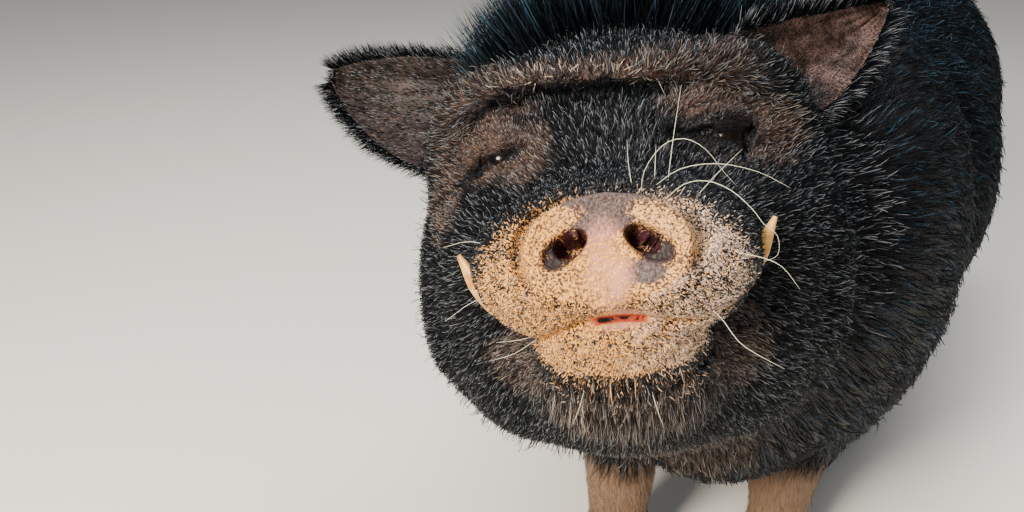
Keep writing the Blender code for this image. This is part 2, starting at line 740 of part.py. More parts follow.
def part_body(body, collection):
    """Makes an object of each piece of the cut body, named by the anchor nearest to it."""
    anchors = {
        "head": HEAD_FRAME @ Vector((0.0, 0.110, 0.0)),
        "neck": (HEAD_CUT[0] + NECK_CUT[0]) / 2,
        "torso": Vector((0.0, 0.050, 0.300)),
        "tail": bent((0.010, 0.530, 0.320)),
    }
    for name, _, sole in feet():
        anchors[name.replace("_", "leg_")] = bent(sole + Vector((0.0, 0.0, 0.110)))
    mesh = bmesh.new()
    mesh.from_mesh(body.data)
    named = {}
    for part in loose_parts(mesh):
        middle = sum((vertex.co for vertex in part), Vector()) / len(part)
        name = min(anchors, key=lambda key: (anchors[key] - middle).length)
        named.setdefault(name, part)
    for name, part in named.items():
        piece = mesh.copy()
        kept = {vertex.index for vertex in part}
        piece.verts.ensure_lookup_table()
        others = [vertex for vertex in piece.verts if vertex.index not in kept]
        bmesh.ops.delete(piece, geom=others, context="VERTS")
        linked(name, piece, collection)
    mesh.free()
    bpy.data.objects.remove(body)


def hoof(name, sole, place, collection):
    """One toe's hoof: half of a tapered oval drum, with the cleft between it and the other."""
    mesh = bmesh.new()
    bmesh.ops.create_cone(mesh, cap_ends=True, segments=20, radius1=1.0, radius2=1.0, depth=1.0)
    for vertex in mesh.verts:
        low = vertex.co.z < 0.0
        wide, long = HOOF_SOLE if low else HOOF_TOP
        vertex.co.x *= wide
        vertex.co.y = vertex.co.y * long - (HOOF_SLANT if low else 0.0)
        vertex.co.z = 0.0 if low else HOOF_HEIGHT - GAP
    front = Vector((place * CLEFT_FRONT / 2, -HOOF_SOLE[1] - HOOF_SLANT, 0.0))
    back = Vector((place * CLEFT_BACK / 2, HOOF_SOLE[1], 0.0))
    across = (back - front).cross(Vector((0.0, 0.0, 1.0))) * place
    geometry = mesh.verts[:] + mesh.edges[:] + mesh.faces[:]
    split = bmesh.ops.bisect_plane(mesh, geom=geometry, plane_co=front, plane_no=across, clear_inner=True)
    rim = [edge for edge in split["geom_cut"] if isinstance(edge, bmesh.types.BMEdge)]
    bmesh.ops.contextual_create(mesh, geom=rim)
    bmesh.ops.recalc_face_normals(mesh, faces=mesh.faces)
    bmesh.ops.translate(mesh, verts=mesh.verts, vec=bent(sole))
    return linked(name, mesh, collection)


def add_hooves(collection):
    """Two hooves on each foot."""
    for name, side, sole in feet():
        for place, across in (("inner", -side), ("outer", side)):
            hoof(f"hoof_{name}_{place}", sole, across, collection)


def colour(made, finish):
    """Gives an object a material of its own."""
    shade, roughness = finish
    material = bpy.data.materials.new(made.name)
    material.use_nodes = True
    principled = material.node_tree.nodes["Principled BSDF"]
    linear = [(int(shade[i : i + 2], 16) / 255) ** 2.2 for i in (0, 2, 4)]
    principled.inputs["Base Color"].default_value = (*linear, 1.0)
    principled.inputs["Roughness"].default_value = roughness
    principled.inputs["Metallic"].default_value = 0.0
    made.data.materials.clear()
    made.data.materials.append(material)


def finish_of(name):
    """A piece's colour and roughness, by its name."""
    if name.startswith("eye"):
        return EYE_BROWN
    if name.startswith("tusk"):
        return IVORY
    if name.startswith(("hoof", "dewclaw")):
        return HORN
    return PALE_SOCK if name.startswith("foreleg") else BLACK_COAT


def stand(collection):
    """Hangs every piece on an empty that brings the middle of the model over the origin."""
    made_of = list(collection.objects)
    corners = [made.matrix_world @ Vector(corner) for made in made_of for corner in made.bound_box]
    low = [min(corner[axis] for corner in corners) for axis in (0, 1)]
    high = [max(corner[axis] for corner in corners) for axis in (0, 1)]
    base = bpy.data.objects.new("stand", None)
    base.location = (-(low[0] + high[0]) / 2, -(low[1] + high[1]) / 2, 0.0)
    for made in made_of:
        made.parent = base
    collection.objects.link(base)


def main():
    """Models the pig."""
    for old in list(bpy.data.objects):
        bpy.data.objects.remove(old)
    pig = bpy.data.collections.new("domestic_pig")
    cutters = bpy.data.collections.new("cutters")
    for made in (pig, cutters):
        bpy.context.scene.collection.children.link(made)
    body = body_mesh(pig)
    add_locks(body, cutters)
    skin = grown_skin(body)
    cut_body(body, cutters)
    part_body(body, pig)
    for side, letter in ((1.0, "l"), (-1.0, "r")):
        make_ear(f"ear_{letter}", side, skin, cutters, pig)
    for name, form in head_forms():
        linked(name, piece_mesh(form, HEAD_FRAME), pig)
    for name, form in dewclaws():
        linked(name, piece_mesh(form, Matrix.Identity(4)), pig)
    add_hooves(pig)
    for made in pig.objects:
        colour(made, finish_of(made.name))
    stand(pig)


if __name__ == "__main__":
    main()
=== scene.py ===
"""A life-size domestic pig: a black pot-bellied boar with a dusty snout, as a museum shows it.

The skin is one surface where melted masses end. Every hair is a thin tapered blade, rooted in
that skin and combed back along the body. Lengths are metres, and the pig faces -Y.
"""

import math

import bmesh
import bpy
import numpy as np
from bpy.props import FloatProperty, FloatVectorProperty, IntProperty, PointerProperty
from mathutils import Color, Matrix, Vector


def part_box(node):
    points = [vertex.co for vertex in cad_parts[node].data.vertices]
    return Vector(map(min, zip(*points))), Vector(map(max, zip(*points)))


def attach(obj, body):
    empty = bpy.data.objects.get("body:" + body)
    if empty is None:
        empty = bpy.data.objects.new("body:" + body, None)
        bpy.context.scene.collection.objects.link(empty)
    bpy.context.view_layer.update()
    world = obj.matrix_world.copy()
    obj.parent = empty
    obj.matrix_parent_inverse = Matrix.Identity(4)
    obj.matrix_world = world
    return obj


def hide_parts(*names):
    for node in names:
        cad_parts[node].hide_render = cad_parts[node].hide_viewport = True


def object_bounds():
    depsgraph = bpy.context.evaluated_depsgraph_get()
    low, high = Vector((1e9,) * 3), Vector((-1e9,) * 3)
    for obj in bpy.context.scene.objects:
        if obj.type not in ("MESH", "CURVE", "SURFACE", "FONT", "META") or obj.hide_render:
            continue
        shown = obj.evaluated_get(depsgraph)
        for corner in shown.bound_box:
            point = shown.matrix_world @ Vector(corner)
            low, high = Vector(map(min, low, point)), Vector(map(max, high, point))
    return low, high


bl_info = {
    "name": "Domestic pig",
    "version": (1, 0, 0),
    "blender": (4, 5, 0),
    "location": "View3D > Sidebar > Pig",
    "description": "Skin, coat, ears, eyes, tusks and hooves of a pot-bellied boar",
    "category": "Add Mesh",
}

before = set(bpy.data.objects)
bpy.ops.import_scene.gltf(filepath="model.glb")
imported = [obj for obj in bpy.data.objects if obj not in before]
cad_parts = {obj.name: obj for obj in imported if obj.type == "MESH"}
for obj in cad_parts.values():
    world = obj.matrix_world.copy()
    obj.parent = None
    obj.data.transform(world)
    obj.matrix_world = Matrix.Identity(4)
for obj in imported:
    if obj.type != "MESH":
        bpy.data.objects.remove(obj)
CAD_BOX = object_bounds()
SIDES = {"left": 1.0, "right": -1.0}


def turned(degrees, axis):
    """The 3 x 3 matrix of a turn about X, Y or Z."""
    return np.array(Matrix.Rotation(math.radians(degrees), 3, axis))


def ramp(value, start, end):
    """0 before the start, 1 past the end, with soft ends between. The end may be the lower one."""
    share = np.clip((value - start) / (end - start), 0.0, 1.0)
    return share * share * (3.0 - 2.0 * share)


# The head's own frame: the snout disc's middle is its origin, and +Y runs back along the head
HEAD_PLACE = np.array((0.018, -0.641, 0.455))
HEAD_TURN = turned(16.5, "Z") @ turned(-25.5, "X") @ turned(-9.5, "Y")
EYE_PLACE, EYE_RADIUS = np.array((0.0685, 0.1215, 0.0650)), 0.0135
GAZE_OUT = 28.0
SPINE_BEND = 0.19

# The model stands a little off its own frame's origin: the left eye tells how far
EYE_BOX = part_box("eye_l")
ORIGIN = np.array((EYE_BOX[0] + EYE_BOX[1]) / 2) - (HEAD_PLACE + HEAD_TURN @ EYE_PLACE)

# Feet
FORE_SPREAD, FORE_Y, FORE_STRIDE = 0.070, -0.360, 0.038
HIND_SPREAD, HIND_Y, HIND_STRIDE = 0.125, 0.350, -0.030
HOOF_HEIGHT, HOOF_SLANT = 0.030, 0.007
TOE_BALL, TOE_APART, TOE_FORWARD = (0.016, 0.026, 0.022), 0.014, 0.006
ANKLE_TUCK = 0.55

# How wide the round hollows are where masses melt into one another
MELTS = {
    "trunk": 0.060, "toes": 0.014, "leg": 0.030, "tail": 0.020, "neck": 0.060, "head": 0.035,
    "face": 0.026, "chin": 0.020, "mouth": 0.003, "brow": 0.018, "brow_crease": 0.007,
    "jowl": 0.016, "cheek": 0.024, "lid": 0.005, "fold": 0.004, "disc": 0.004,
}
FAR = 1.0
CULL = 0.065


def ball(centre, radii, swing=0.0):
    """An ellipsoid, swung about Z by some degrees."""
    return {"centre": np.array(centre), "radii": np.array(radii), "turn": turned(swing, "Z")}


def chain(points, radii):
    """A tube of rounded cones end to end, along a smooth curve through the points."""
    points = np.array([np.array(point) for point in points])
    ends = np.concatenate([[2 * points[0] - points[1]], points, [2 * points[-1] - points[-2]]])
    shares = np.linspace(0.0, 1.0, 4)[:-1, None]
    path, sizes = [], []
    for i in range(len(points) - 1):
        before, start, end, after = ends[i : i + 4]
        bend = (2 * before - 5 * start + 4 * end - after) * shares**2
        turn = (3 * start - before - 3 * end + after) * shares**3
        path.append((2 * start + (end - before) * shares + bend + turn) / 2)
        sizes.append(radii[i] + (radii[i + 1] - radii[i]) * shares[:, 0])
    return {"path": np.concatenate(path + [points[-1:]]), "radii": np.concatenate(sizes + [radii[-1:]])}


def line(points):
    """The smooth curve through the points, as a chain with no thickness."""
    return chain(points, [0.0] * len(points))


def mirrored(form):
    """The same form on the other side of x = 0."""
    flip = np.array((-1.0, 1.0, 1.0))
    if "path" in form:
        return {"path": form["path"] * flip, "radii": form["radii"]}
    turn = form["turn"] * flip[:, None] * flip
    return {"centre": form["centre"] * flip, "radii": form["radii"], "turn": turn}


def both(*forms):
    """Left forms, with their mirror images."""
    return list(forms) + [mirrored(form) for form in forms]


# The trunk and tail, in the straight body
TRUNK = [
    ball((0.0, -0.300, 0.325), (0.150, 0.180, 0.175)),
    ball((0.0, -0.210, 0.415), (0.112, 0.190, 0.092)),
    ball((0.0, -0.010, 0.315), (0.208, 0.340, 0.170)),
    ball((0.0, 0.020, 0.236), (0.185, 0.290, 0.152)),
    ball((0.0, 0.230, 0.393), (0.140, 0.210, 0.110)),
    ball((0.0, 0.340, 0.350), (0.158, 0.160, 0.150)),
    ball((0.0, -0.375, 0.225), (0.085, 0.090, 0.078)),
    *both(
        ball((0.088, -0.280, 0.330), (0.076, 0.130, 0.150)),
        ball((0.105, 0.200, 0.300), (0.090, 0.200, 0.130)),
        ball((0.092, 0.345, 0.285), (0.084, 0.130, 0.140)),
    ),
]
TAIL = chain(
    [(0.0, 0.470, 0.415), (0.0, 0.524, 0.412), (0.006, 0.556, 0.376), (0.012, 0.562, 0.312),
     (0.015, 0.553, 0.255)],
    [0.030, 0.018, 0.012, 0.010, 0.008],
)


def leg(x, y, bones, radii):
    """One leg: its bones down to the middle of the foot, and the two soft pads above the hooves."""
    pads = [ball((x + aside, y - TOE_FORWARD, HOOF_HEIGHT), TOE_BALL) for aside in (-TOE_APART, TOE_APART)]
    return [chain([*bones, (x, y, 0.026)], radii), *pads]


def fore_leg(side):
    """Shoulder, elbow, knee, fetlock and toes of one fore leg."""
    x, y = FORE_SPREAD, FORE_Y + side * FORE_STRIDE
    bones = [(x + 0.018, -0.310, 0.300), (x + 0.010, (y - 0.290) / 2, 0.205), (x, y + 0.012, 0.125),
             (x, y + 0.012, 0.065)]
    return leg(x, y, bones, [0.075, 0.056, 0.036, 0.030, 0.029])


def hind_leg(side):
    """Hip, stifle, hock, fetlock and toes of one hind leg."""
    x, y = HIND_SPREAD, HIND_Y + side * HIND_STRIDE
    bones = [(x - 0.030, 0.340, 0.300), (x - 0.008, 0.325, 0.215), (x, y + 0.045, 0.142),
             (x, y + 0.024, 0.070)]
    return leg(x, y, bones, [0.090, 0.070, 0.036, 0.029, 0.028])


LEGS = [
    fore_leg(1.0), hind_leg(1.0),
    [mirrored(form) for form in fore_leg(-1.0)], [mirrored(form) for form in hind_leg(-1.0)],
]

# The head, in its own frame
FACE = [
    ball((0.0, 0.200, 0.050), (0.105, 0.100, 0.085)),
    ball((0.0, 0.150, 0.045), (0.072, 0.065, 0.050)),
    ball((0.0, 0.082, 0.002), (0.058, 0.078, 0.046)),
    ball((0.0, 0.250, 0.035), (0.122, 0.100, 0.118)),
    *both(
        ball((0.066, 0.142, 0.000), (0.046, 0.058, 0.048)),
        ball((0.041, 0.058, -0.004), (0.037, 0.046, 0.035), swing=26.0),
        ball((0.030, 0.040, -0.019), (0.029, 0.034, 0.024), swing=10.0),
    ),
]
BROW = chain(
    [(-0.116, 0.172, 0.058), (-0.113, 0.155, 0.082), (-0.092, 0.138, 0.108), (-0.048, 0.129, 0.116),
     (0.0, 0.127, 0.1165), (0.048, 0.129, 0.116), (0.092, 0.138, 0.108), (0.113, 0.155, 0.082),
     (0.116, 0.172, 0.058)],
    [0.013, 0.016, 0.018, 0.017, 0.016, 0.017, 0.018, 0.016, 0.013],
)
HOOD = [
    ball((0.0, 0.215, 0.075), (0.105, 0.105, 0.098)),
    *both(ball((0.076, 0.205, 0.088), (0.046, 0.066, 0.048))),
    BROW,
]
JAW = [
    ball((0.0, 0.054, -0.043), (0.046, 0.044, 0.023)),
    ball((0.0, 0.110, -0.060), (0.060, 0.080, 0.045)),
]
CHEEK_ROLL = chain(
    [(0.112, 0.158, 0.060), (0.120, 0.150, 0.030), (0.128, 0.155, -0.010), (0.124, 0.160, -0.060),
     (0.102, 0.185, -0.090)],
    [0.010, 0.012, 0.013, 0.013, 0.006],
)
JOWLS = [
    ball((0.0, 0.200, -0.057), (0.115, 0.120, 0.084)),
    *both(ball((0.072, 0.190, -0.015), (0.066, 0.095, 0.108)), CHEEK_ROLL),
]
LIDS = both(
    chain(
        [(0.094, 0.142, 0.056), (0.084, 0.121, 0.0725), (0.067, 0.1125, 0.0765), (0.050, 0.1140, 0.0705),
         (0.040, 0.118, 0.060)],
        [0.0050, 0.0092, 0.0110, 0.0086, 0.0040],
    ),
    chain(
        [(0.040, 0.118, 0.062), (0.052, 0.1125, 0.0560), (0.070, 0.1150, 0.0556), (0.092, 0.138, 0.048)],
        [0.0040, 0.0078, 0.0084, 0.0058],
    ),
)
# Loose folds of the face, finer than the solids carry: over and under each eye, and inside the brow
FOLDS = [
    chain([(-0.098, 0.135, 0.050), (-0.088, 0.121, 0.074), (-0.070, 0.1145, 0.0885),
           (-0.050, 0.118, 0.086)], [0.0030, 0.0078, 0.0086, 0.0030]),
    chain([(-0.054, 0.112, 0.072), (-0.046, 0.110, 0.066), (-0.040, 0.106, 0.056), (-0.044, 0.103, 0.046)],
          [0.0030, 0.0072, 0.0068, 0.0030]),
    chain([(-0.102, 0.136, 0.038), (-0.088, 0.125, 0.046), (-0.070, 0.113, 0.046), (-0.056, 0.108, 0.044)],
          [0.0030, 0.0050, 0.0048, 0.0025]),
    chain([(0.030, 0.112, 0.078), (0.044, 0.1125, 0.086), (0.062, 0.114, 0.0895), (0.082, 0.124, 0.082)],
          [0.0030, 0.0074, 0.0088, 0.0040]),
    chain([(0.076, 0.116, 0.056), (0.090, 0.127, 0.066), (0.101, 0.139, 0.068), (0.109, 0.148, 0.054)],
          [0.0040, 0.0088, 0.0100, 0.0050]),
    chain([(0.056, 0.112, 0.046), (0.070, 0.114, 0.043), (0.088, 0.126, 0.044), (0.102, 0.138, 0.034)],
          [0.0025, 0.0048, 0.0050, 0.0030]),
    chain([(0.046, 0.126, 0.112), (0.056, 0.127, 0.100), (0.066, 0.125, 0.090)], [0.0045, 0.0075, 0.0040]),
]
DISC_RADII, DISC_BACK, DISC_ROUND = np.array((0.0425, 0.0275)), 0.016, 0.004
NECK_ROOT, NAPE, NECK_RADII = (0.0, -0.230, 0.360), np.array((0.0, 0.235, 0.010)), (0.150, 0.128)
HEAD_REACH = 0.470

# Nostrils: slanted ovals pressed into the disc, the outer corner lower than the inner one. A
# shallow hollow leads into a deep hole: centre, radii and depth of each, as if on the left
NOSTRIL_SLANT = 34.0
NOSTRILS = [((0.0216, 0.0000), (0.0146, 0.0082), 0.0050), ((0.0178, 0.0030), (0.0100, 0.0064), 0.012)]

# A groove round the disc and the raised rim inside it: place and width in disc radii, and depth
GROOVE = 1.12
DISC_RINGS = [(GROOVE, 0.070, 0.0050), (0.95, 0.060, -0.0016)]

# Creases pressed into the face: path, depth and width. The mouth comes first
MOUTH = [
    (-0.066, 0.092, -0.038), (-0.056, 0.060, -0.046), (-0.040, 0.030, -0.045), (-0.024, 0.016, -0.040),
    (-0.010, 0.012, -0.0335), (0.002, 0.011, -0.0315), (0.014, 0.012, -0.0345), (0.033, 0.016, -0.040),
    (0.048, 0.022, -0.0375), (0.060, 0.034, -0.028), (0.067, 0.056, -0.018), (0.069, 0.090, -0.016),
]
BROW_CREASE = [
    (-0.050, 0.116, 0.1015), (-0.034, 0.114, 0.1010), (-0.017, 0.113, 0.1005), (0.007, 0.113, 0.0985),
    (0.024, 0.113, 0.0985), (0.038, 0.114, 0.1000),
]
CHIN_CREASE = [
    (-0.048, 0.072, -0.058), (-0.034, 0.052, -0.072), (0.000, 0.046, -0.079), (0.034, 0.052, -0.072),
    (0.050, 0.072, -0.056),
]
# Lengths across the lips count more than those along the view from the front
FRONTAL = np.array((1.0, 0.25, 1.0))
CREASES = [
    (MOUTH, 0.0060, 0.0017), (BROW_CREASE, 0.0080, 0.0048), (CHIN_CREASE, 0.0035, 0.0035),
    ([(-0.052, 0.105, 0.071), (-0.046, 0.104, 0.0655), (-0.037, 0.103, 0.066)], 0.0045, 0.0020),
    ([(-0.106, 0.150, 0.034), (-0.095, 0.132, 0.050), (-0.084, 0.118, 0.058)], 0.0060, 0.0030),
    ([(0.034, 0.104, 0.066), (0.046, 0.105, 0.066), (0.060, 0.108, 0.071)], 0.0050, 0.0024),
    ([(0.048, 0.110, 0.0825), (0.064, 0.109, 0.0835), (0.080, 0.114, 0.080)], 0.0036, 0.0018),
    ([(0.044, 0.112, 0.0900), (0.062, 0.111, 0.0915), (0.080, 0.117, 0.088)], 0.0036, 0.0018),
    ([(0.086, 0.122, 0.080), (0.084, 0.117, 0.064), (0.080, 0.113, 0.050)], 0.0060, 0.0030),
]

# The coat: how deep the skin lies under the solids' surface, on the face and on the body
FACE_COAT, BODY_COAT = 0.0008, 0.0030


def in_head(points):
    """Points in the head's own frame."""
    return (points - HEAD_PLACE) @ HEAD_TURN


def bent(point):
    """Points of the straight body where the bent spine takes them."""
    moved = np.array(point, dtype=float)
    moved[..., 0] += 0.5 * SPINE_BEND * moved[..., 1] ** 2
    return moved


def distance(points, form):
    """About how far points lie outside a form: less than nothing inside it."""
    if "centre" in form:
        local = (points - form["centre"]) @ form["turn"]
        near = np.linalg.norm(local / form["radii"], axis=1)
        slope = np.linalg.norm(local / form["radii"] ** 2, axis=1)
        return near * (near - 1.0) / np.maximum(slope, 1e-9)
    path, radii = form["path"], form["radii"]
    nearest = np.full(len(points), np.inf)
    for i in range(len(path) - 1):
        along = path[i + 1] - path[i]
        share = np.clip((points - path[i]) @ along / (along @ along), 0.0, 1.0)
        reach = np.linalg.norm(points - path[i] - share[:, None] * along, axis=1)
        nearest = np.minimum(nearest, reach - radii[i] - share * (radii[i + 1] - radii[i]))
    return nearest


def reach_of(form):
    """The lowest and the highest corner of a form."""
    if "path" in form:
        size = form["radii"].max()
        return form["path"].min(axis=0) - size, form["path"].max(axis=0) + size
    size = np.abs(form["turn"]) @ form["radii"]
    return form["centre"] - size, form["centre"] + size


def melt(a, b, width):
    """The nearer of two distances, rounded over a width where they are alike."""
    share = np.clip(0.5 + 0.5 * (b - a) / width, 0.0, 1.0)
    return b * (1.0 - share) + a * share - width * share * (1.0 - share)


def melted(points, forms, width, start=None):
    """All the forms melted together, onto a start if there is one. Far points are left as they are."""
    found = np.full(len(points), FAR) if start is None else start
    for form in forms:
        low, high = reach_of(form)
        near = np.nonzero(np.all((points > low - CULL) & (points < high + CULL), axis=1))[0]
        found[near] = melt(found[near], distance(points[near], form), width)
    return found


def disc_distance(points):
    """The snout disc: a short oval plug with a rounded rim and two slanted nostrils."""
    local = points[:, [0, 2]] / DISC_RADII
    near = np.linalg.norm(local, axis=1)
    slope = np.linalg.norm(local / DISC_RADII, axis=1)
    across = near * (near - 1.0) / np.maximum(slope, 1e-9) + DISC_ROUND
    deep = np.abs(points[:, 1] - DISC_BACK / 2) - DISC_BACK / 2 + DISC_ROUND
    outside = np.linalg.norm(np.maximum(np.stack([across, deep]), 0.0), axis=0)
    return np.minimum(np.maximum(across, deep), 0.0) + outside - DISC_ROUND


def nostril_share(points, nostril):
    """1 in the middle of a nostril, 0 outside it, on a slanted oval."""
    (side, high), (long, wide), _ = nostril
    slant = math.radians(NOSTRIL_SLANT)
    x, z = np.abs(points[:, 0]) - side, points[:, 2] - high
    along = (x * math.cos(slant) - z * math.sin(slant)) / long
    over = (x * math.sin(slant) + z * math.cos(slant)) / wide
    return ramp(np.hypot(along, over), 1.05, 0.70) * ramp(points[:, 1], 0.030, 0.020)


def disc_ratio(points):
    """How far out on the disc a point lies: 1 on its outline."""
    return np.hypot(points[:, 0] / DISC_RADII[0], points[:, 2] / DISC_RADII[1])


def aside_of(points, laid, height):
    """How far points at a height over the plain head lie from a line laid on it, along the surface."""
    aside = np.sqrt(np.maximum(distance(points, laid) ** 2 - height**2, 0.0))
    return np.where(np.abs(height) < 0.02, aside, FAR)


def mouth_distance(points):
    """How far points lie from the line of the lips, as seen from the front."""
    lips = LAID_CREASES[0]
    return distance(points * FRONTAL, {"path": lips["path"] * FRONTAL, "radii": lips["radii"]})


def fine_relief(points, height):
    """What is pressed into the face or stands out of it: creases, the disc's rim, nostrils, ripples."""
    depth = np.zeros(len(points))
    for index, (laid, (_, deep, width)) in enumerate(zip(LAID_CREASES, CREASES, strict=True)):
        low, high = reach_of(laid)
        reach = 3 * width + deep
        near = np.nonzero(np.all((points > low - reach) & (points < high + reach), axis=1))[0]
        mouth = index == 0
        aside = mouth_distance(points[near]) if mouth else aside_of(points[near], laid, height[near])
        depth[near] += deep * np.exp(-((aside / width) ** 2))
    front = ramp(points[:, 1], 0.034, 0.024)
    ratio = disc_ratio(points)
    upper = front * ramp(points[:, 2], -0.022, -0.004)
    for where, width, deep in DISC_RINGS:
        depth += upper * deep * np.exp(-(((ratio - where) / width) ** 2))
    for nostril in NOSTRILS:
        depth += nostril[2] * nostril_share(points, nostril)
    x, y, z = points.T * 1000.0
    ripples = np.sin(0.31 * x + 1.3 * np.sin(0.17 * z)) * np.sin(0.27 * z + 0.9 * np.sin(0.13 * x))
    fine = np.sin(0.83 * x + 0.41 * y + 2.0 * np.sin(0.29 * z)) * np.sin(0.77 * z - 0.37 * y)
    return depth + ramp(y, 190.0, 120.0) * (0.0005 * ripples + 0.00008 * fine)


def plain_head(points):
    """The head without its fine relief, from points in its own frame."""
    face = melted(points, FACE, MELTS["face"])
    face = melt(face, melted(points, JAW, MELTS["chin"]), MELTS["mouth"])
    face = melt(face, melted(points, HOOD, MELTS["brow"]), MELTS["brow_crease"])
    face = melt(face, melted(points, JOWLS, MELTS["jowl"]), MELTS["cheek"])
    face = melted(points, LIDS, MELTS["lid"], face)
    face = melted(points, FOLDS, MELTS["fold"], face)
    under = ramp(points[:, 2], 0.000, -0.024)
    return melt(face, disc_distance(points), MELTS["disc"] + 0.020 * under)


def head_distance(points):
    """The head, from points in its own frame."""
    face = plain_head(points)
    close = np.nonzero((points[:, 1] < 0.20) & (np.abs(face) < 0.03))[0]
    face[close] += fine_relief(points[close], face[close])
    return face


def on_face(path):
    """A path laid on the plain head along its slope."""
    points = line(path)["path"]
    for _ in range(8):
        here = plain_head(points)
        slope = np.stack([plain_head(points + move) - here for move in 1e-4 * np.eye(3)], axis=1) / 1e-4
        points = points - here[:, None] * slope / np.maximum((slope**2).sum(axis=1), 0.2)[:, None]
    return {"path": points, "radii": np.zeros(len(points))}


def body_distance(points):
    """The whole animal, without its coat."""
    straight = points.copy()
    straight[:, 0] -= 0.5 * SPINE_BEND * points[:, 1] ** 2
    body = melted(straight, TRUNK, MELTS["trunk"])
    for forms in LEGS:
        body = melt(body, melted(straight, forms, MELTS["toes"]), MELTS["leg"])
    body = melted(straight, [TAIL], MELTS["tail"], body)
    body = melted(points, [NECK], MELTS["neck"], body)
    local = in_head(points)
    near = local[:, 1] < HEAD_REACH
    body[near] = melt(body[near], head_distance(local[near]), MELTS["head"])
    face = ramp(local[:, 1], 0.22, 0.12)
    depth = BODY_COAT + (FACE_COAT - BODY_COAT) * face
    return body + depth + ANKLE_TUCK * np.maximum(HOOF_HEIGHT - points[:, 2], 0.0)


# These two need the functions above
LAID_CREASES = [on_face(path) for path, _, _ in CREASES]
NECK = chain([NECK_ROOT, HEAD_PLACE + HEAD_TURN @ NAPE], NECK_RADII)


def slope_at(points):
    """The direction in which the body's distance grows, for each point."""
    step = 1e-4
    here = body_distance(points)
    slope = np.stack([body_distance(points + move) - here for move in step * np.eye(3)], axis=1) / step
    return here, slope


# The largest step of a settling point, and the least squared slope that it trusts
SETTLING_STEP, LEAST_SLOPE = 0.006, 0.05


def settled(points, rounds):
    """Points moved along the slope to where the body's distance is nothing."""
    for _ in range(rounds):
        here, slope = slope_at(points)
        steep = np.maximum((slope**2).sum(axis=1), LEAST_SLOPE)
        points = points - np.clip(here / steep, -SETTLING_STEP, SETTLING_STEP)[:, None] * slope
    return points


def closed_tube(rings, start, end):
    """A surface through rings of points, closed by a fan to one point at either end."""
    rows, columns = rings.shape[:2]
    points = np.concatenate([rings.reshape(-1, 3), [start, end]])
    here = np.arange(rows * columns).reshape(rows, columns)
    beside = np.roll(here, -1, axis=1)
    quads = np.stack([here[:-1], beside[:-1], beside[1:], here[1:]], axis=-1).reshape(-1, 4)
    pole = np.full(columns, rows * columns)
    first = np.stack([beside[0], here[0], pole], axis=-1)
    last = np.stack([here[-1], beside[-1], pole + 1], axis=-1)
    return points, quads, np.concatenate([first, last])


def ball_surface(form, rows=16, columns=28):
    """A ball's centre plus its turned radii times (cos u sin v, sin u sin v, -cos v)."""
    v = np.linspace(0.0, math.pi, rows + 2)[1:-1, None]
    u = np.linspace(0.0, 2 * math.pi, columns, endpoint=False)[None, :]
    round_ball = np.broadcast_arrays(np.cos(u) * np.sin(v), np.sin(u) * np.sin(v), -np.cos(v))
    poles = np.array(((0.0, 0.0, -1.0), (0.0, 0.0, 1.0)))
    parts = (np.stack(round_ball, axis=-1), poles)
    rings, ends = (form["centre"] + (part * form["radii"]) @ form["turn"].T for part in parts)
    return closed_tube(rings, *ends)


def tube_rings(path, radii, columns=16):
    """A circle of each radius, square to the path, at each of its points."""
    along = np.gradient(path, axis=0)
    along /= np.linalg.norm(along, axis=1, keepdims=True)
    aside = np.cross(along, np.eye(3)[np.abs(along).sum(axis=0).argmin()])
    aside /= np.linalg.norm(aside, axis=1, keepdims=True)
    over = np.cross(along, aside)
    angle = np.linspace(0.0, 2 * math.pi, columns, endpoint=False)[None, :, None]
    circle = np.cos(angle) * aside[:, None] + np.sin(angle) * over[:, None]
    return path[:, None] + circle * np.asarray(radii)[:, None, None]


def chain_surface(form):
    """A chain's circles, closed a radius past either end."""
    path, radii = form["path"], form["radii"]
    before, after = path[0] - path[1], path[-1] - path[-2]
    start = path[0] + before / np.linalg.norm(before) * radii[0]
    end = path[-1] + after / np.linalg.norm(after) * radii[-1]
    return closed_tube(tube_rings(path, radii), start, end)


def joined(surfaces):
    """Several closed surfaces as one set of points, quads and triangles."""
    counts = np.cumsum([0] + [len(points) for points, _, _ in surfaces[:-1]])
    points = np.concatenate([points for points, _, _ in surfaces])
    quads = np.concatenate([quads + count for (_, quads, _), count in zip(surfaces, counts, strict=True)])
    fans = np.concatenate([fans + count for (_, _, fans), count in zip(surfaces, counts, strict=True)])
    return points, quads, fans


def new_mesh(name, points, *faces):
    """A smooth mesh where the model stands, from arrays of faces with like numbers of corners."""
    mesh = bpy.data.meshes.new(name)
    loops = np.concatenate([face.ravel() for face in faces])
    corners = np.concatenate([np.full(len(face), face.shape[1]) for face in faces])
    mesh.vertices.add(len(points))
    mesh.vertices.foreach_set("co", (points + ORIGIN).ravel())
    mesh.loops.add(len(loops))
    mesh.loops.foreach_set("vertex_index", loops)
    mesh.polygons.add(len(corners))
    mesh.polygons.foreach_set("loop_start", np.cumsum(corners) - corners)
    mesh.polygons.foreach_set("use_smooth", np.ones(len(corners), dtype=bool))
    mesh.update(calc_edges=True)
    return mesh


def points_of(mesh):
    """A mesh's points in the model's own frame."""
    points = np.empty(len(mesh.vertices) * 3)
    mesh.vertices.foreach_get("co", points)
    return points.reshape(-1, 3) - ORIGIN


def move_points(mesh, points):
    """Puts a mesh's points at places in the model's own frame."""
    mesh.vertices.foreach_set("co", (points + ORIGIN).ravel())
    mesh.update()


def set_attribute(mesh, name, kind, field, values):
    """Stores one value for each point of a mesh."""
    mesh.attributes.new(name, kind, "POINT").data.foreach_set(field, values.astype(np.float32).ravel())


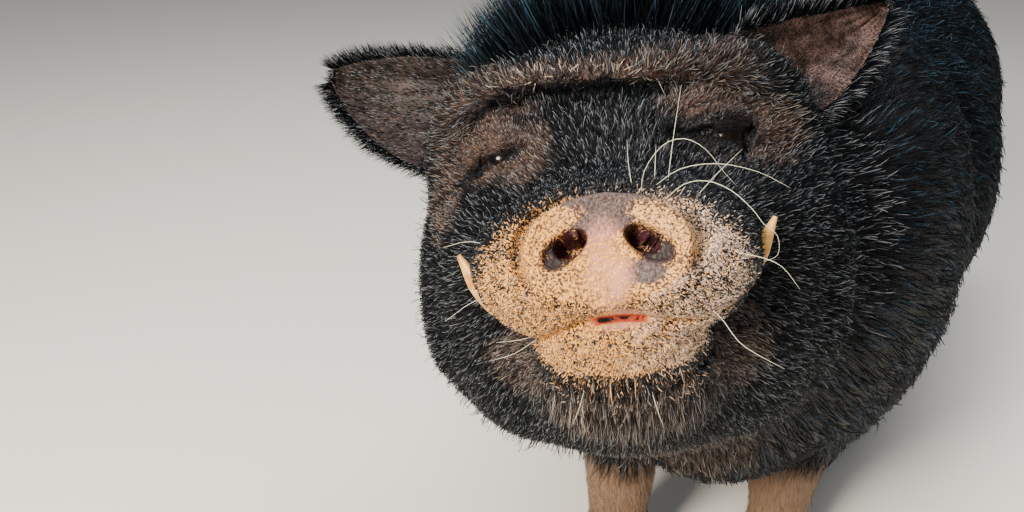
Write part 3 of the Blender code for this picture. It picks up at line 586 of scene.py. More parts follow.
def show(name, mesh, material, slot, *nodes):
    """Adds a piece that rides on the body, with its material and the nodes it replaces. The slot is not
    used.
    """
    piece = bpy.data.objects.new(name, mesh)
    bpy.context.scene.collection.objects.link(piece)
    mesh.materials.clear()
    mesh.materials.append(material)
    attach(piece, "root")
    if nodes:
        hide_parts(*nodes)
    return piece


# Markings: the share of dust, of brown, of pale hair and of pink at each point, and painted shade


def blob(points, centre, radii, soft=0.3):
    """1 inside an ellipsoid and 0 outside it, over a soft rim."""
    return ramp(np.linalg.norm((points - centre) / radii, axis=1), 1.0 + soft, 1.0 - soft)


def band(points, form, reach, soft):
    """1 within reach of a form and 0 well outside it."""
    return ramp(distance(points, form), reach + soft, reach)


# Where dried mud lies and where it has gone again: centre, radii and share, in the head's frame
DUSTY = [
    ((0.0, 0.022, -0.016), (0.072, 0.050, 0.046), 0.80),
    ((0.0, 0.030, -0.047), (0.056, 0.046, 0.021), 0.95),
    ((-0.040, 0.020, -0.020), (0.032, 0.040, 0.030), 0.85),
    ((0.0, 0.006, 0.002), (0.048, 0.016, 0.026), 1.0),
    ((0.0, 0.060, -0.074), (0.046, 0.040, 0.018), 0.36),
]
CLEAN = [
    ((0.001, 0.010, 0.022), (0.019, 0.020, 0.010), 0.78),
    ((0.018, 0.002, -0.013), (0.011, 0.012, 0.007), 0.82),
    ((-0.002, 0.004, 0.010), (0.017, 0.012, 0.006), 0.75),
    ((-0.030, 0.008, -0.012), (0.007, 0.012, 0.005), 0.40),
]
BROW_TOP = line(
    [(-0.066, 0.114, 0.112), (-0.045, 0.111, 0.113), (-0.016, 0.110, 0.111), (0.031, 0.111, 0.107)]
)
# Where the hair is brown: centre and radii, in the head's frame
BROWN = [
    ((-0.082, 0.118, 0.074), (0.030, 0.030, 0.024)), ((-0.050, 0.108, 0.062), (0.020, 0.020, 0.024)),
    ((0.060, 0.112, 0.088), (0.034, 0.024, 0.012)), ((0.094, 0.130, 0.066), (0.024, 0.028, 0.024)),
    ((-0.108, 0.135, 0.040), (0.014, 0.030, 0.040)), ((0.0, 0.070, -0.085), (0.050, 0.050, 0.022)),
    ((-0.062, 0.085, -0.062), (0.028, 0.030, 0.022)), ((0.062, 0.085, -0.062), (0.026, 0.030, 0.026)),
]
# Brown hair between the fore legs, in the model's frame
BRISKET = ((0.030, -0.510, 0.240), (0.055, 0.110, 0.060))
LIPS = ((0.003, 0.012, -0.0360), (0.015, 0.022, 0.0060))
SNOUT_PINK = ((-0.001, 0.000, -0.011), (0.011, 0.020, 0.020))
SOCK_TOP, SOCK_SOFT = 0.118, 0.030

# Folds where shade is painted, their hair and hide painted dark: under the brow, round the eyes and beside
# the lips
SHADED = [
    chain([(-0.086, 0.122, 0.094), (-0.062, 0.114, 0.103), (-0.034, 0.113, 0.103), (0.007, 0.112, 0.100),
           (0.046, 0.113, 0.099)], [0.0020, 0.0045, 0.0055, 0.0055, 0.0025]),
    chain([(-0.104, 0.142, 0.046), (-0.092, 0.128, 0.054), (-0.080, 0.116, 0.063), (-0.060, 0.108, 0.068)],
          [0.0015, 0.0022, 0.0030, 0.0030]),
    chain([(0.036, 0.099, 0.065), (0.052, 0.104, 0.066), (0.066, 0.109, 0.068), (0.080, 0.115, 0.065)],
          [0.0055, 0.0090, 0.0105, 0.0085]),
]


def shade(local):
    """How much shade is painted at a place in the head's frame: in the folds of the face and in the groove
    round the disc's upper part.
    """
    folds = np.max([band(local, form, 0.0, 0.006) for form in SHADED], axis=0)
    front = ramp(local[:, 1], 0.034, 0.024) * ramp(local[:, 2], -0.024, -0.008)
    return np.maximum(folds, 0.6 * front * np.exp(-(((disc_ratio(local) - GROOVE) / 0.05) ** 2)))


def marks(points):
    """How dusty, brown, pale and pink the hide and its hair are at each point, from 0 to 1.

    Dust is the most of its ellipsoids less the clean ones, and a thin band on the brow's top. Brown
    is the brow, its top and the brown ellipsoids, but not the folds, where painted shade takes it
    away. Pale is what lies low on the fore legs, and pink is the lips and the middle of the snout.
    """
    local = in_head(points)
    dust = np.max([share * blob(local, *spot, soft=0.16) for *spot, share in DUSTY], axis=0)
    for *spot, share in CLEAN:
        dust = dust - share * blob(local, *spot, soft=0.5)
    top = band(local, BROW_TOP, 0.001, 0.008)
    dust = np.maximum(dust, 0.30 * top)
    brow = 0.65 * band(local, BROW, 0.004, 0.012) * ramp(local[:, 1], 0.165, 0.145)
    brow *= ramp(local[:, 0], 0.104, 0.076) * ramp(local[:, 0], -0.128, -0.116) * np.maximum(
        ramp(np.abs(local[:, 0]), 0.048, 0.078), ramp(local[:, 2], 0.126, 0.116)
    )
    brown = np.max([brow, top] + [blob(local, *spot) for spot in BROWN] + [blob(points, *BRISKET)], axis=0)
    # Painted shade: the folds lose their brown and show the black hide
    brown = brown * (1.0 - shade(local))
    fore = ramp(points[:, 1], -0.20, -0.26)
    pale = fore * ramp(points[:, 2], SOCK_TOP + SOCK_SOFT, SOCK_TOP)
    pink = np.maximum(0.8 * blob(local, *LIPS, soft=0.5), 0.95 * blob(local, *SNOUT_PINK, soft=0.55))
    return np.stack([dust, brown, pale, pink], axis=1)


def snout_marks(points):
    """The bare disc, the nostrils' holes, their hollows and the mouth's slit, from 0 to 1."""
    local = in_head(points)
    disc = ramp(disc_ratio(local), 1.08, 0.98) * ramp(local[:, 1], 0.030, 0.018)
    hollow, hole = (nostril_share(local, nostril) for nostril in NOSTRILS)
    slit = ramp(mouth_distance(local), 0.0034, 0.0004) * ramp(local[:, 1], 0.075, 0.050)
    slit = slit * (0.48 + 0.52 * blob(local, (0.003, 0.012, -0.0335), (0.013, 0.03, 0.02)))
    return np.stack([disc, hole, hollow, slit], axis=1)


# How far behind the disc the face's mesh is evened, is made finer twice, and is at its finest, and
# how far round each eye it is at its finest
EVENED, FINER, FINEST, FINEST_AT_EYE = 0.260, (0.190, 0.165), 0.048, 0.024


def in_front_of(back):
    """A test for points in front of a place in the head's frame."""
    return lambda points: in_head(points)[:, 1] < back


def detailed(points):
    """True where the skin needs its finest mesh: the snout and the lids."""
    local = in_head(points)
    eyes = [np.linalg.norm(local - EYE_PLACE * (side, 1.0, 1.0), axis=1) for side in SIDES.values()]
    return (local[:, 1] < FINEST) | (np.minimum(*eyes) < FINEST_AT_EYE)


def rough_skin():
    """Every form as a closed surface, in one mesh for the Remesh modifier to join."""
    trunk = [ball_surface(form) for form in TRUNK] + [chain_surface(TAIL)]
    for forms in LEGS:
        trunk += [chain_surface(forms[0])] + [ball_surface(form) for form in forms[1:]]
    surfaces = [(bent(points), quads, fans) for points, quads, fans in trunk] + [chain_surface(NECK)]
    plug = ball((0.0, DISC_BACK / 2, 0.0), (DISC_RADII[0], DISC_BACK, DISC_RADII[1]))
    for form in [*FACE, *HOOD, *JAW, *JOWLS, *LIDS, *FOLDS, plug]:
        points, quads, fans = chain_surface(form) if "path" in form else ball_surface(form)
        surfaces.append((HEAD_PLACE + points @ HEAD_TURN.T, quads, fans))
    return new_mesh("rough", *joined(surfaces))


def remeshed(mesh, voxel):
    """A mesh as a voxel Remesh modifier joins it."""
    made = bpy.data.objects.new("rough", mesh)
    bpy.context.scene.collection.objects.link(made)
    remesh = made.modifiers.new("Remesh", "REMESH")
    remesh.mode = "VOXEL"
    remesh.voxel_size = voxel
    remesh.use_smooth_shade = True
    graph = bpy.context.evaluated_depsgraph_get()
    found = bpy.data.meshes.new_from_object(made.evaluated_get(graph))
    bpy.data.objects.remove(made)
    return found


def refined(mesh, close):
    """The mesh with every edge halved where a test holds, and evened there."""
    near = close(points_of(mesh))
    ends = np.empty(len(mesh.edges) * 2, dtype=np.int32)
    mesh.edges.foreach_get("vertices", ends)
    chosen = np.nonzero(near[ends.reshape(-1, 2)].all(axis=1))[0]
    work = bmesh.new()
    work.from_mesh(mesh)
    work.edges.ensure_lookup_table()
    edges = [work.edges[i] for i in chosen]
    bmesh.ops.subdivide_edges(work, edges=edges, cuts=1, use_grid_fill=True)
    work.to_mesh(mesh)
    work.free()
    return evened(mesh, close, 3)


def evened(mesh, close, rounds):
    """The mesh with its points spread evenly where a test holds, and settled after each round."""
    points = points_of(mesh)
    ends = np.empty(len(mesh.edges) * 2, dtype=np.int32)
    mesh.edges.foreach_get("vertices", ends)
    a, b = ends.reshape(-1, 2).T
    near = close(points)
    links = np.bincount(a, minlength=len(points)) + np.bincount(b, minlength=len(points))
    for _ in range(rounds):
        sums = [
            np.bincount(a, axis[b], len(points)) + np.bincount(b, axis[a], len(points)) for axis in points.T
        ]
        middle = np.stack(sums, axis=1) / np.maximum(links, 1)[:, None]
        points[near] = settled(points[near] + 0.6 * (middle[near] - points[near]), 2)
    move_points(mesh, points)
    return mesh


# Hair: where it is rooted, how it is combed and how it is laid


def faces_of(mesh):
    """A mesh's triangles and the normals of its points."""
    mesh.calc_loop_triangles()
    triangles = np.empty(len(mesh.loop_triangles) * 3, dtype=np.int32)
    mesh.loop_triangles.foreach_get("vertices", triangles)
    normals = np.empty(len(mesh.vertices) * 3)
    mesh.vertex_normals.foreach_get("vector", normals)
    return triangles.reshape(-1, 3), normals.reshape(-1, 3)


def sown(mesh, count, density, chance):
    """Roots and normals spread over a mesh, evenly for its area times the density."""
    points = points_of(mesh)
    triangles, normals = faces_of(mesh)
    corners = points[triangles]
    across = np.cross(corners[:, 1] - corners[:, 0], corners[:, 2] - corners[:, 0])
    ends = np.cumsum(np.linalg.norm(across, axis=1) * density(corners.mean(axis=1)))
    picks = (np.arange(count) + chance.random(count)) / count * ends[-1]
    chosen = np.minimum(np.searchsorted(ends, picks), len(triangles) - 1)
    a, b = chance.random((2, count))
    over = a + b > 1.0
    a, b = np.where(over, 1.0 - a, a), np.where(over, 1.0 - b, b)
    shares = np.stack([1.0 - a - b, a, b], axis=1)[:, :, None]
    return (corners[chosen] * shares).sum(axis=1), unit((normals[triangles[chosen]] * shares).sum(axis=1))


def unit(vectors):
    """Vectors at length one."""
    return vectors / np.maximum(np.linalg.norm(vectors, axis=-1, keepdims=True), 1e-9)


# How the coat breaks into clumps: radians a metre, for hair directions that sway together
CLUMPS = np.array(((310.0, -120.0, 90.0), (140.0, 270.0, -160.0), (-100.0, 150.0, 330.0)))


def combed(points, normals, chance, stray):
    """The lie of the hair: out from the snout over the head, back along the trunk, down the legs."""
    local = in_head(points)
    head = ramp(local[:, 1], 0.32, 0.15)[:, None]
    fan = unit(local - (0.0, -0.035, -0.005)) @ HEAD_TURN.T
    trunk = np.zeros_like(points) + (0.0, 1.0, -0.30)
    trunk[:, 2] -= 0.45 * np.abs(normals[:, 0])
    low = ramp(points[:, 2], 0.22, 0.13)[:, None] * (1.0 - head)
    tail = ramp(points[:, 1], 0.53, 0.56)[:, None]
    lie = head * fan + (1.0 - head) * unit(trunk)
    lie = lie * (1.0 - low) + low * np.array((0.0, 0.2, -1.0))
    lie = lie * (1.0 - tail) + tail * np.array((0.0, 0.1, -1.0))
    waves = np.sin(points @ CLUMPS + 1.7 * np.sin(points[:, [1, 2, 0]] @ CLUMPS[:, [2, 0, 1]]))
    return on_skin(lie + 0.16 * waves + stray * chance.normal(size=points.shape), normals)


def on_skin(directions, normals):
    """Directions turned to run along the skin."""
    return unit(directions - (directions * normals).sum(axis=1, keepdims=True) * normals)


STATIONS = np.array((0.0, 0.40, 0.78, 1.0))
TAPER = np.array((0.75, 1.0, 0.62))
ROOT_SINK = 0.0008


def blades(roots, normals, lies, length, width, stand, chance, twist=0.5, sway=0.08, hug=False):
    """Flat tapered hairs: each runs along its lie, rises to its stand and sways aside.

    The middle of a hair is root + lie * length * t + normal * stand * (1 - (1 - t)^2), and
    a hugging hair is then brought to that height over the skin.
    """
    count = len(roots)
    t = STATIONS[None, :, None]
    across = unit(np.cross(lies, normals))
    length, width, stand = (np.broadcast_to(size, count)[:, None, None] for size in (length, width, stand))
    aside = chance.normal(0.0, sway, (count, 1, 1)) * length * t**2
    along = roots[:, None] + lies[:, None] * length * t + across[:, None] * aside
    height = stand * (1.0 - (1.0 - t) ** 2) - ROOT_SINK * (t == 0.0)
    if hug:
        off = body_distance(along[:, 1:].reshape(-1, 3)).reshape(count, -1, 1)
        height[:, 1:] -= np.clip(off, -0.012, 0.012)
    middle = along + normals[:, None] * height
    angle = chance.normal(0.0, twist, (count, 1))
    aside = (across * np.cos(angle) + normals * np.sin(angle))[:, None] * width / 2
    sides = aside * TAPER[None, :, None]
    body = np.stack([middle[:, :-1] - sides, middle[:, :-1] + sides], axis=2).reshape(count, -1, 3)
    return np.concatenate([body, middle[:, -1:]], axis=1)


def unwrapped(points):
    """Where a place on the skin lies on its unwrap: round the body across, along the body up.

    The trunk and head fill the upper part and the legs four strips below it.
    """
    spine = np.array((HEAD_PLACE, HEAD_PLACE + HEAD_TURN @ NAPE, (0.0, -0.20, 0.33), (0.02, 0.45, 0.33)))
    lengths = np.cumsum([0.0, *np.linalg.norm(np.diff(spine, axis=0), axis=1)])
    best, share, around = np.full(len(points), np.inf), np.zeros(len(points)), np.zeros(len(points))
    for i in range(len(spine) - 1):
        along = spine[i + 1] - spine[i]
        t = np.clip((points - spine[i]) @ along / (along @ along), -0.1, 1.1)
        off = points - spine[i] - t[:, None] * along
        reach = np.linalg.norm(off, axis=1)
        closer = reach < best
        best = np.where(closer, reach, best)
        share = np.where(closer, (lengths[i] + t * np.linalg.norm(along)) / lengths[-1], share)
        around = np.where(closer, np.arctan2(off[:, 0], off[:, 2]) / (2 * math.pi) + 0.5, around)
    place = np.stack([0.02 + 0.96 * around, 0.34 + 0.60 * np.clip(share, 0.0, 1.0)], axis=1)
    for index, forms in enumerate(LEGS):
        foot = bent(forms[0]["path"][-1])
        low = (np.abs(points - foot)[:, :2].max(axis=1) < 0.075) & (points[:, 2] < 0.16)
        turn = np.arctan2(points[:, 0] - foot[0], points[:, 1] - foot[1]) / (2 * math.pi) + 0.5
        strip = np.stack([0.02 + 0.25 * index + 0.20 * turn, 0.02 + 1.6 * points[:, 2]], axis=1)
        place[low] = strip[low]
    return place


BAKE_PATCH = 0.003


def hair_mesh(name, hairs, roots, marked, chance, unwrap=unwrapped):
    """A mesh of hairs, with their markings, their own shade and their patches on the unwrap."""
    count, each = hairs.shape[:2]
    first = np.arange(count)[:, None, None] * each
    quads = np.array([(i, i + 1, i + 3, i + 2) for i in range(0, each - 3, 2)])
    tips = np.array([[each - 3, each - 2, each - 1]])
    faces = (first + quads).reshape(-1, 4), (first + tips).reshape(-1, 3)
    mesh = new_mesh(name, hairs.reshape(-1, 3), *faces)
    set_attribute(mesh, "marks", "FLOAT_COLOR", "color", marked.repeat(each, axis=0))
    along = np.append(STATIONS[:-1].repeat(2), 1.0)
    strand = np.stack(np.broadcast_arrays(chance.random((count, 1)), along), axis=-1)
    set_attribute(mesh, "strand", "FLOAT2", "vector", strand)
    aside = np.append(np.tile((-0.5, 0.5), len(STATIONS) - 1), 0.0)
    patch = unwrap(roots)[:, None] + BAKE_PATCH * np.stack([aside, along - 0.5], axis=-1)
    loops = np.empty(len(mesh.loops), dtype=np.int32)
    mesh.loops.foreach_get("vertex_index", loops)
    mesh.uv_layers.new(name="OFBake").data.foreach_set("uv", patch.reshape(-1, 2)[loops].ravel())
    return mesh


# Ears: the lower and the upper edge of each, from the root by a bend to the tip, in the head's
# frame and as if both were on the left
EARS = {
    "left": (
        ((0.104, 0.148, 0.072), (0.152, 0.168, 0.074), (0.201, 0.232, 0.162)),
        ((0.082, 0.150, 0.138), (0.124, 0.178, 0.151), (0.197, 0.232, 0.170)),
    ),
    "right": (
        ((0.100, 0.215, 0.064), (0.188, 0.193, 0.074), (0.230, 0.237, 0.162)),
        ((0.092, 0.215, 0.154), (0.165, 0.203, 0.174), (0.226, 0.237, 0.170)),
    ),
}
EAR_CUP, EAR_FLATTER, EAR_THICK = 0.026, 0.75, 0.0042
EAR_ROWS, EAR_COLUMNS = 56, 88
# Hair of an ear: its length, how much less inside, its width, the fringe's length, the share inside
EAR_HAIR, EAR_HAIR_LESS, EAR_HAIR_WIDTH = 0.0085, 0.0025, 0.00045
EAR_FRINGE, EAR_HAIR_INSIDE = (0.008, 0.018), 0.40
# How brown the hair and the hide inside each ear are; the right ear's lower shares paint shade on it
EAR_BROWN_AND_SHADE = {"left": (0.60, 1.0), "right": (0.30, 0.30)}


def ear_sheet(side, u, v):
    """The middle of an ear's gristle, u from root to tip and v from the lower edge to the upper.

    Each edge is a curve (1-u)^2 root + 2 u (1-u) bend + u^2 tip. Between them the sheet sinks back
    by a cup of 1 - v^2, and long ridges and ripples rise in it that run out from the root.
    """
    edges = []
    for root, bend, tip in EARS[side]:
        root, bend, tip = np.array(root), np.array(bend), np.array(tip)
        edges.append((1.0 - u) ** 2 * root + 2.0 * u * (1.0 - u) * bend + u**2 * tip)
    share = (v + 1.0) / 2.0
    sheet = edges[0] * (1.0 - share) + edges[1] * share
    fade = np.clip(1.0 - 0.9 * u, 0.0, 1.0)
    ridges = 0.0030 * np.exp(-(((v - 0.30) / 0.16) ** 2))
    ridges = ridges + 0.0024 * np.exp(-(((v + 0.35) / 0.13) ** 2))
    ripples = 0.0007 * np.sin(19.0 * v + 5.0 * u) * np.sin(9.0 * u + 2.0 * v)
    back = EAR_CUP * (1.0 - v * v) * (1.0 - EAR_FLATTER * u) - ridges * fade - ripples
    sheet[..., 1] += back[..., 0]
    sheet[..., 0] *= SIDES[side]
    return HEAD_PLACE + sheet @ HEAD_TURN.T


def ear_surface(side):
    """The sheet with its thickness: a flat loop round each row, thickest inside and round at the rims."""
    u = np.linspace(-0.02, 0.995, EAR_ROWS)[:, None, None]
    w = np.linspace(0.0, 2 * math.pi, EAR_COLUMNS, endpoint=False)[None, :, None]
    u, w = np.broadcast_arrays(u, w)
    v, step = -np.cos(w), 1e-3
    sheet = ear_sheet(side, u, v)
    across = ear_sheet(side, u, v * 0.98 + step) - ear_sheet(side, u, v * 0.98)
    normal = unit(np.cross(ear_sheet(side, u + step, v) - sheet, across)) * SIDES[side]
    thick = EAR_THICK / 2 * np.sign(np.sin(w)) * np.abs(np.sin(w)) ** 0.5 * (1.0 - 0.45 * u)
    rings = sheet + normal * thick
    inner = np.where(np.sin(w[..., 0]) > 0.0, 1.0, 0.0)
    points, quads, fans = closed_tube(rings, rings[0].mean(axis=0), rings[-1].mean(axis=0))
    inner = inner * (0.35 + 0.65 * ramp(u[..., 0], 0.15, 0.50))
    return points, quads, fans, np.append(inner.ravel(), (0.5, 0.5))


# Tusks, in the head's frame
TUSKS = {
    "lower": chain(
        [(0.056, 0.078, -0.030), (0.070, 0.068, -0.021), (0.0795, 0.062, -0.008), (0.0885, 0.060, 0.009)],
        [0.0068, 0.0068, 0.0056, 0.0013],
    ),
    "upper": chain(
        [(0.056, 0.090, -0.002), (0.069, 0.080, 0.004), (0.0755, 0.074, 0.013)],
        [0.0055, 0.0050, 0.0018],
    ),
}
TUSK_SHIFT = {"left": (0.0, 0.0, 0.002), "right": (-0.001, 0.0, -0.0045)}


def tusk_surface(form, side, rows=40, columns=24):
    """Rings along the tusk's path, three-sided with round corners, ending in a worn tip."""
    share = np.linspace(0.0, 1.0, rows)
    known = np.linspace(0.0, 1.0, len(form["path"]))
    path = np.stack([np.interp(share, known, form["path"][:, axis]) for axis in range(3)], axis=1)
    for _ in range(6):
        path[1:-1] = (path[:-2] + 2.0 * path[1:-1] + path[2:]) / 4.0
    path = path * (SIDES[side], 1.0, 1.0) + TUSK_SHIFT[side]
    rings = tube_rings(path, np.interp(share, known, form["radii"]), columns)
    angle = np.linspace(0.0, 2 * math.pi, columns, endpoint=False)[None, :, None]
    rings = path[:, None] + (rings - path[:, None]) * (0.97 + 0.06 * np.cos(3.0 * angle))
    points, quads, fans = closed_tube(rings, path[0], path[-1])
    return HEAD_PLACE + points @ HEAD_TURN.T, quads, fans


def eyeball_surface(side, rows=40, columns=48):
    """A ball turned out to the side, whose front rises into the cornea's small dome."""
    v = np.linspace(0.0, math.pi, rows + 2)[1:-1, None]
    u = np.linspace(0.0, 2 * math.pi, columns, endpoint=False)[None, :]
    axes = np.broadcast_arrays(np.cos(u) * np.sin(v), -np.cos(v), np.sin(u) * np.sin(v))
    unit_ball = np.stack(axes, axis=-1)
    dome = 1.0 + 0.05 * np.exp(-((v / 0.42) ** 2))
    turn = HEAD_TURN @ turned(GAZE_OUT * SIDES[side], "Z")
    centre = HEAD_PLACE + HEAD_TURN @ (EYE_PLACE * (SIDES[side], 1.0, 1.0))
    rings = centre + (unit_ball * dome[..., None] * EYE_RADIUS) @ turn.T
    ends = centre + np.array(((0.0, -1.05, 0.0), (0.0, 1.0, 0.0))) * EYE_RADIUS @ turn.T
    off_axis = np.append(np.broadcast_to(v, (rows, columns)).ravel(), (0.0, math.pi))
    return *closed_tube(rings, *ends), off_axis


# Hooves: half outlines of a sole, a little narrower at the top, split by the cleft
HOOF_SOLE, HOOF_TOP, CLEFT = (0.0325, 0.039), (0.0285, 0.031), 0.0022
DEWCLAW_ROOT, DEWCLAW_TIP, DEWCLAW_RADII = (0.010, 0.006, 0.064), (0.021, 0.041, 0.044), (0.0085, 0.0052)


def feet():
    """Each foot's name, its side and the middle of its sole in the straight body."""
    for name, spread, y, stride in (
        ("fore", FORE_SPREAD, FORE_Y, FORE_STRIDE),
        ("hind", HIND_SPREAD, HIND_Y, HIND_STRIDE),
    ):
        for side, sign in SIDES.items():
            yield name, side, sign, np.array((sign * spread, y + sign * stride, 0.0))


def hoof_surface(sole, across, rows=18, columns=44):
    """One toe's hoof: half an oval ring at each height, full at the sole and tucked in at the top.

    A ring is (wide (0.5 + 0.5 cos a), long sin a), flattened beside the cleft and drawn to a blunt
    toe in front. It leans forward with the hoof's slant.
    """
    a = np.linspace(0.0, 2 * math.pi, columns, endpoint=False)[None, :]
    t = np.linspace(0.0, 1.0, rows)[:, None]
    wide = HOOF_SOLE[0] + (HOOF_TOP[0] - HOOF_SOLE[0]) * t + 0.0012 * np.sin(math.pi * t)
    long = HOOF_SOLE[1] + (HOOF_TOP[1] - HOOF_SOLE[1]) * t + 0.0010 * np.sin(math.pi * t)
    edge = 1.0 - 0.05 * ramp(t, 0.90, 1.0) - 0.04 * ramp(t, 0.06, 0.0)
    cosine = np.sign(np.cos(a)) * np.abs(np.cos(a)) ** 0.75
    x = CLEFT + (wide - CLEFT) * (0.5 + 0.5 * cosine) * edge + 0.0018 * ramp(-np.sin(a), 0.2, 1.0)
    y = long * np.sin(a) * edge - HOOF_SLANT * (1.0 - t)
    z = HOOF_HEIGHT * t
    rings = np.stack(np.broadcast_arrays(x * across, y, z), axis=-1) + sole
    if across < 0.0:
        rings = rings[:, ::-1]
    points, quads, fans = closed_tube(rings, rings[0].mean(axis=0), rings[-1].mean(axis=0))
    return bent(points), quads, fans


def dewclaw_surface(sole, across):
    """A blunt cone behind and above the hooves, bowed a little outward."""
    root, tip = (sole + np.array(end) * (across, 1, 1) for end in (DEWCLAW_ROOT, DEWCLAW_TIP))
    t = np.linspace(0.0, 1.0, 14)[:, None]
    path = root + (tip - root) * t + np.array((across * 0.0025, 0.0, 0.0)) * np.sin(math.pi * t)
    radii = DEWCLAW_RADII[0] + (DEWCLAW_RADII[1] - DEWCLAW_RADII[0]) * t[:, 0]
    radii = radii * np.sqrt(np.clip(1.0 - ((t[:, 0] - 0.72) / 0.285).clip(0.0) ** 2, 0.02, 1.0))
    points, quads, fans = closed_tube(tube_rings(path, radii, 20), path[0], path[-1])
    return bent(points), quads, fans


# Whiskers: long pale bristles, each from its root by three bends to its tip, in the head's frame
WHISKERS = [
    [(0.018, 0.030, 0.025), (0.021, 0.022, 0.038), (0.031, 0.014, 0.049), (0.042, 0.010, 0.051),
     (0.052, 0.012, 0.045), (0.060, 0.018, 0.034), (0.067, 0.026, 0.026)],
    [(0.026, 0.030, 0.031), (0.039, 0.018, 0.037), (0.057, 0.010, 0.037), (0.076, 0.010, 0.031),
     (0.091, 0.014, 0.022)],
    [(0.029, 0.028, 0.022), (0.040, 0.018, 0.029), (0.051, 0.010, 0.029), (0.062, 0.006, 0.023),
     (0.071, 0.004, 0.013), (0.076, 0.004, 0.005), (0.082, 0.006, -0.001), (0.082, 0.010, -0.010),
     (0.076, 0.016, -0.013)],
    [(0.056, 0.024, -0.006), (0.072, 0.012, -0.010), (0.083, 0.008, -0.016), (0.091, 0.010, -0.028)],
    [(0.043, 0.030, -0.031), (0.052, 0.016, -0.038), (0.060, 0.010, -0.051), (0.070, 0.010, -0.059),
     (0.081, 0.014, -0.066)],
    [(0.033, 0.034, 0.035), (0.038, 0.034, 0.059), (0.044, 0.044, 0.085)],
    [(0.014, 0.030, 0.030), (0.013, 0.030, 0.045), (0.013, 0.040, 0.058)],
    [(0.026, 0.032, 0.036), (0.027, 0.032, 0.044), (0.028, 0.042, 0.054)],
    [(0.045, 0.032, 0.022), (0.057, 0.022, 0.033), (0.071, 0.026, 0.045)],
    [(-0.042, 0.045, -0.043), (-0.053, 0.036, -0.045), (-0.067, 0.040, -0.046)],
    [(-0.044, 0.045, -0.045), (-0.056, 0.034, -0.052), (-0.072, 0.040, -0.056)],
    [(-0.058, 0.034, 0.004), (-0.074, 0.026, 0.010), (-0.090, 0.028, 0.008)],
    [(-0.056, 0.036, -0.020), (-0.074, 0.026, -0.022), (-0.092, 0.028, -0.032)],
    [(0.014, 0.044, -0.072), (0.017, 0.034, -0.084), (0.020, 0.036, -0.096)],
    [(-0.020, 0.044, -0.072), (-0.023, 0.034, -0.082), (-0.028, 0.038, -0.092)],
]
WHISKER_RADIUS = 0.00021


def whisker_surface(points):
    """A round bristle along the smooth curve through its points, thinning to its tip."""
    path = HEAD_PLACE + line(points)["path"] @ HEAD_TURN.T
    radii = WHISKER_RADIUS * np.linspace(1.0, 0.3, len(path))
    return closed_tube(tube_rings(path, radii, 6), path[0], path[-1])


# Materials


def colour(shade):
    """The linear colour of an sRGB hex value."""
    parts = [int(shade[i : i + 2], 16) / 255 for i in (0, 2, 4)]
    return tuple(part / 12.92 if part <= 0.04045 else ((part + 0.055) / 1.055) ** 2.4 for part in parts)


# The nodes that the materials use, by short names: node, inputs in order, output and settings
NODES = {
    "places": ("TexCoord", (), "Object", {}),
    "attribute": ("Attribute", (), None, {}),
    "colour parts": ("SeparateColor", (0,), None, {}),
    "axes": ("SeparateXYZ", (0,), None, {}),
    "noise": ("TexNoise", ("Vector", "Scale", "Detail", "Roughness"), 0, {}),
    "cells": ("TexVoronoi", ("Vector", "Scale"), 0, {"feature": "DISTANCE_TO_EDGE"}),
    "blend": ("Mix", (0, 6, 7), 2, {"data_type": "RGBA"}),
    "span": ("MapRange", (0, 1, 2, 3, 4), 0, {}),
    "plus": ("Math", (0, 1), 0, {"operation": "ADD"}),
    "minus": ("Math", (0, 1), 0, {"operation": "SUBTRACT"}),
    "times": ("Math", (0, 1), 0, {"operation": "MULTIPLY"}),
    "greater": ("Math", (0, 1), 0, {"operation": "MAXIMUM"}),
    "fraction": ("Math", (0,), 0, {"operation": "FRACT"}),
    "sine": ("Math", (0,), 0, {"operation": "SINE"}),
    "bump": ("Bump", ("Height", "Strength", "Distance"), 0, {}),
    "surface": ("BsdfPrincipled", ("Base Color", "Roughness", "IOR", "Specular IOR Level"), 0, {}),
    "output": ("OutputMaterial", (0,), None, {}),
}


def new_material(name):
    """An empty material, and the function that adds a node to it."""
    material = bpy.data.materials.new(name)
    material.use_nodes = True
    tree = material.node_tree
    tree.nodes.clear()

    def add(kind, *values, more=None, **settings):
        """Adds a node. A value feeds its input if it is an output, and is put into it if not."""
        node, inputs, output, own = NODES[kind]
        made = tree.nodes.new("ShaderNode" + node)
        for key, value in (own | settings).items():
            setattr(made, key, value)
        for socket, value in [*zip(inputs, values), *(more or {}).items()]:
            if isinstance(value, bpy.types.NodeSocket):
                tree.links.new(value, made.inputs[socket])
            else:
                made.inputs[socket].default_value = (*value, 1.0) if isinstance(value, Color) else value
        return made.outputs if output is None else made.outputs[output]

    return material, add


# The snout's middle over the floor, and how many times a height over it counts
SNOUT_HEIGHT, HEIGHT_COUNTS = 0.456, 5.0


def aside_and_up(add, place):
    """How far a place lies to the pig's left, counting five times what it lies above the snout's middle."""
    along = add("axes", place)
    above = add("greater", add("minus", along[2], SNOUT_HEIGHT), 0.0)
    return add("plus", along[0], add("times", above, HEIGHT_COUNTS))


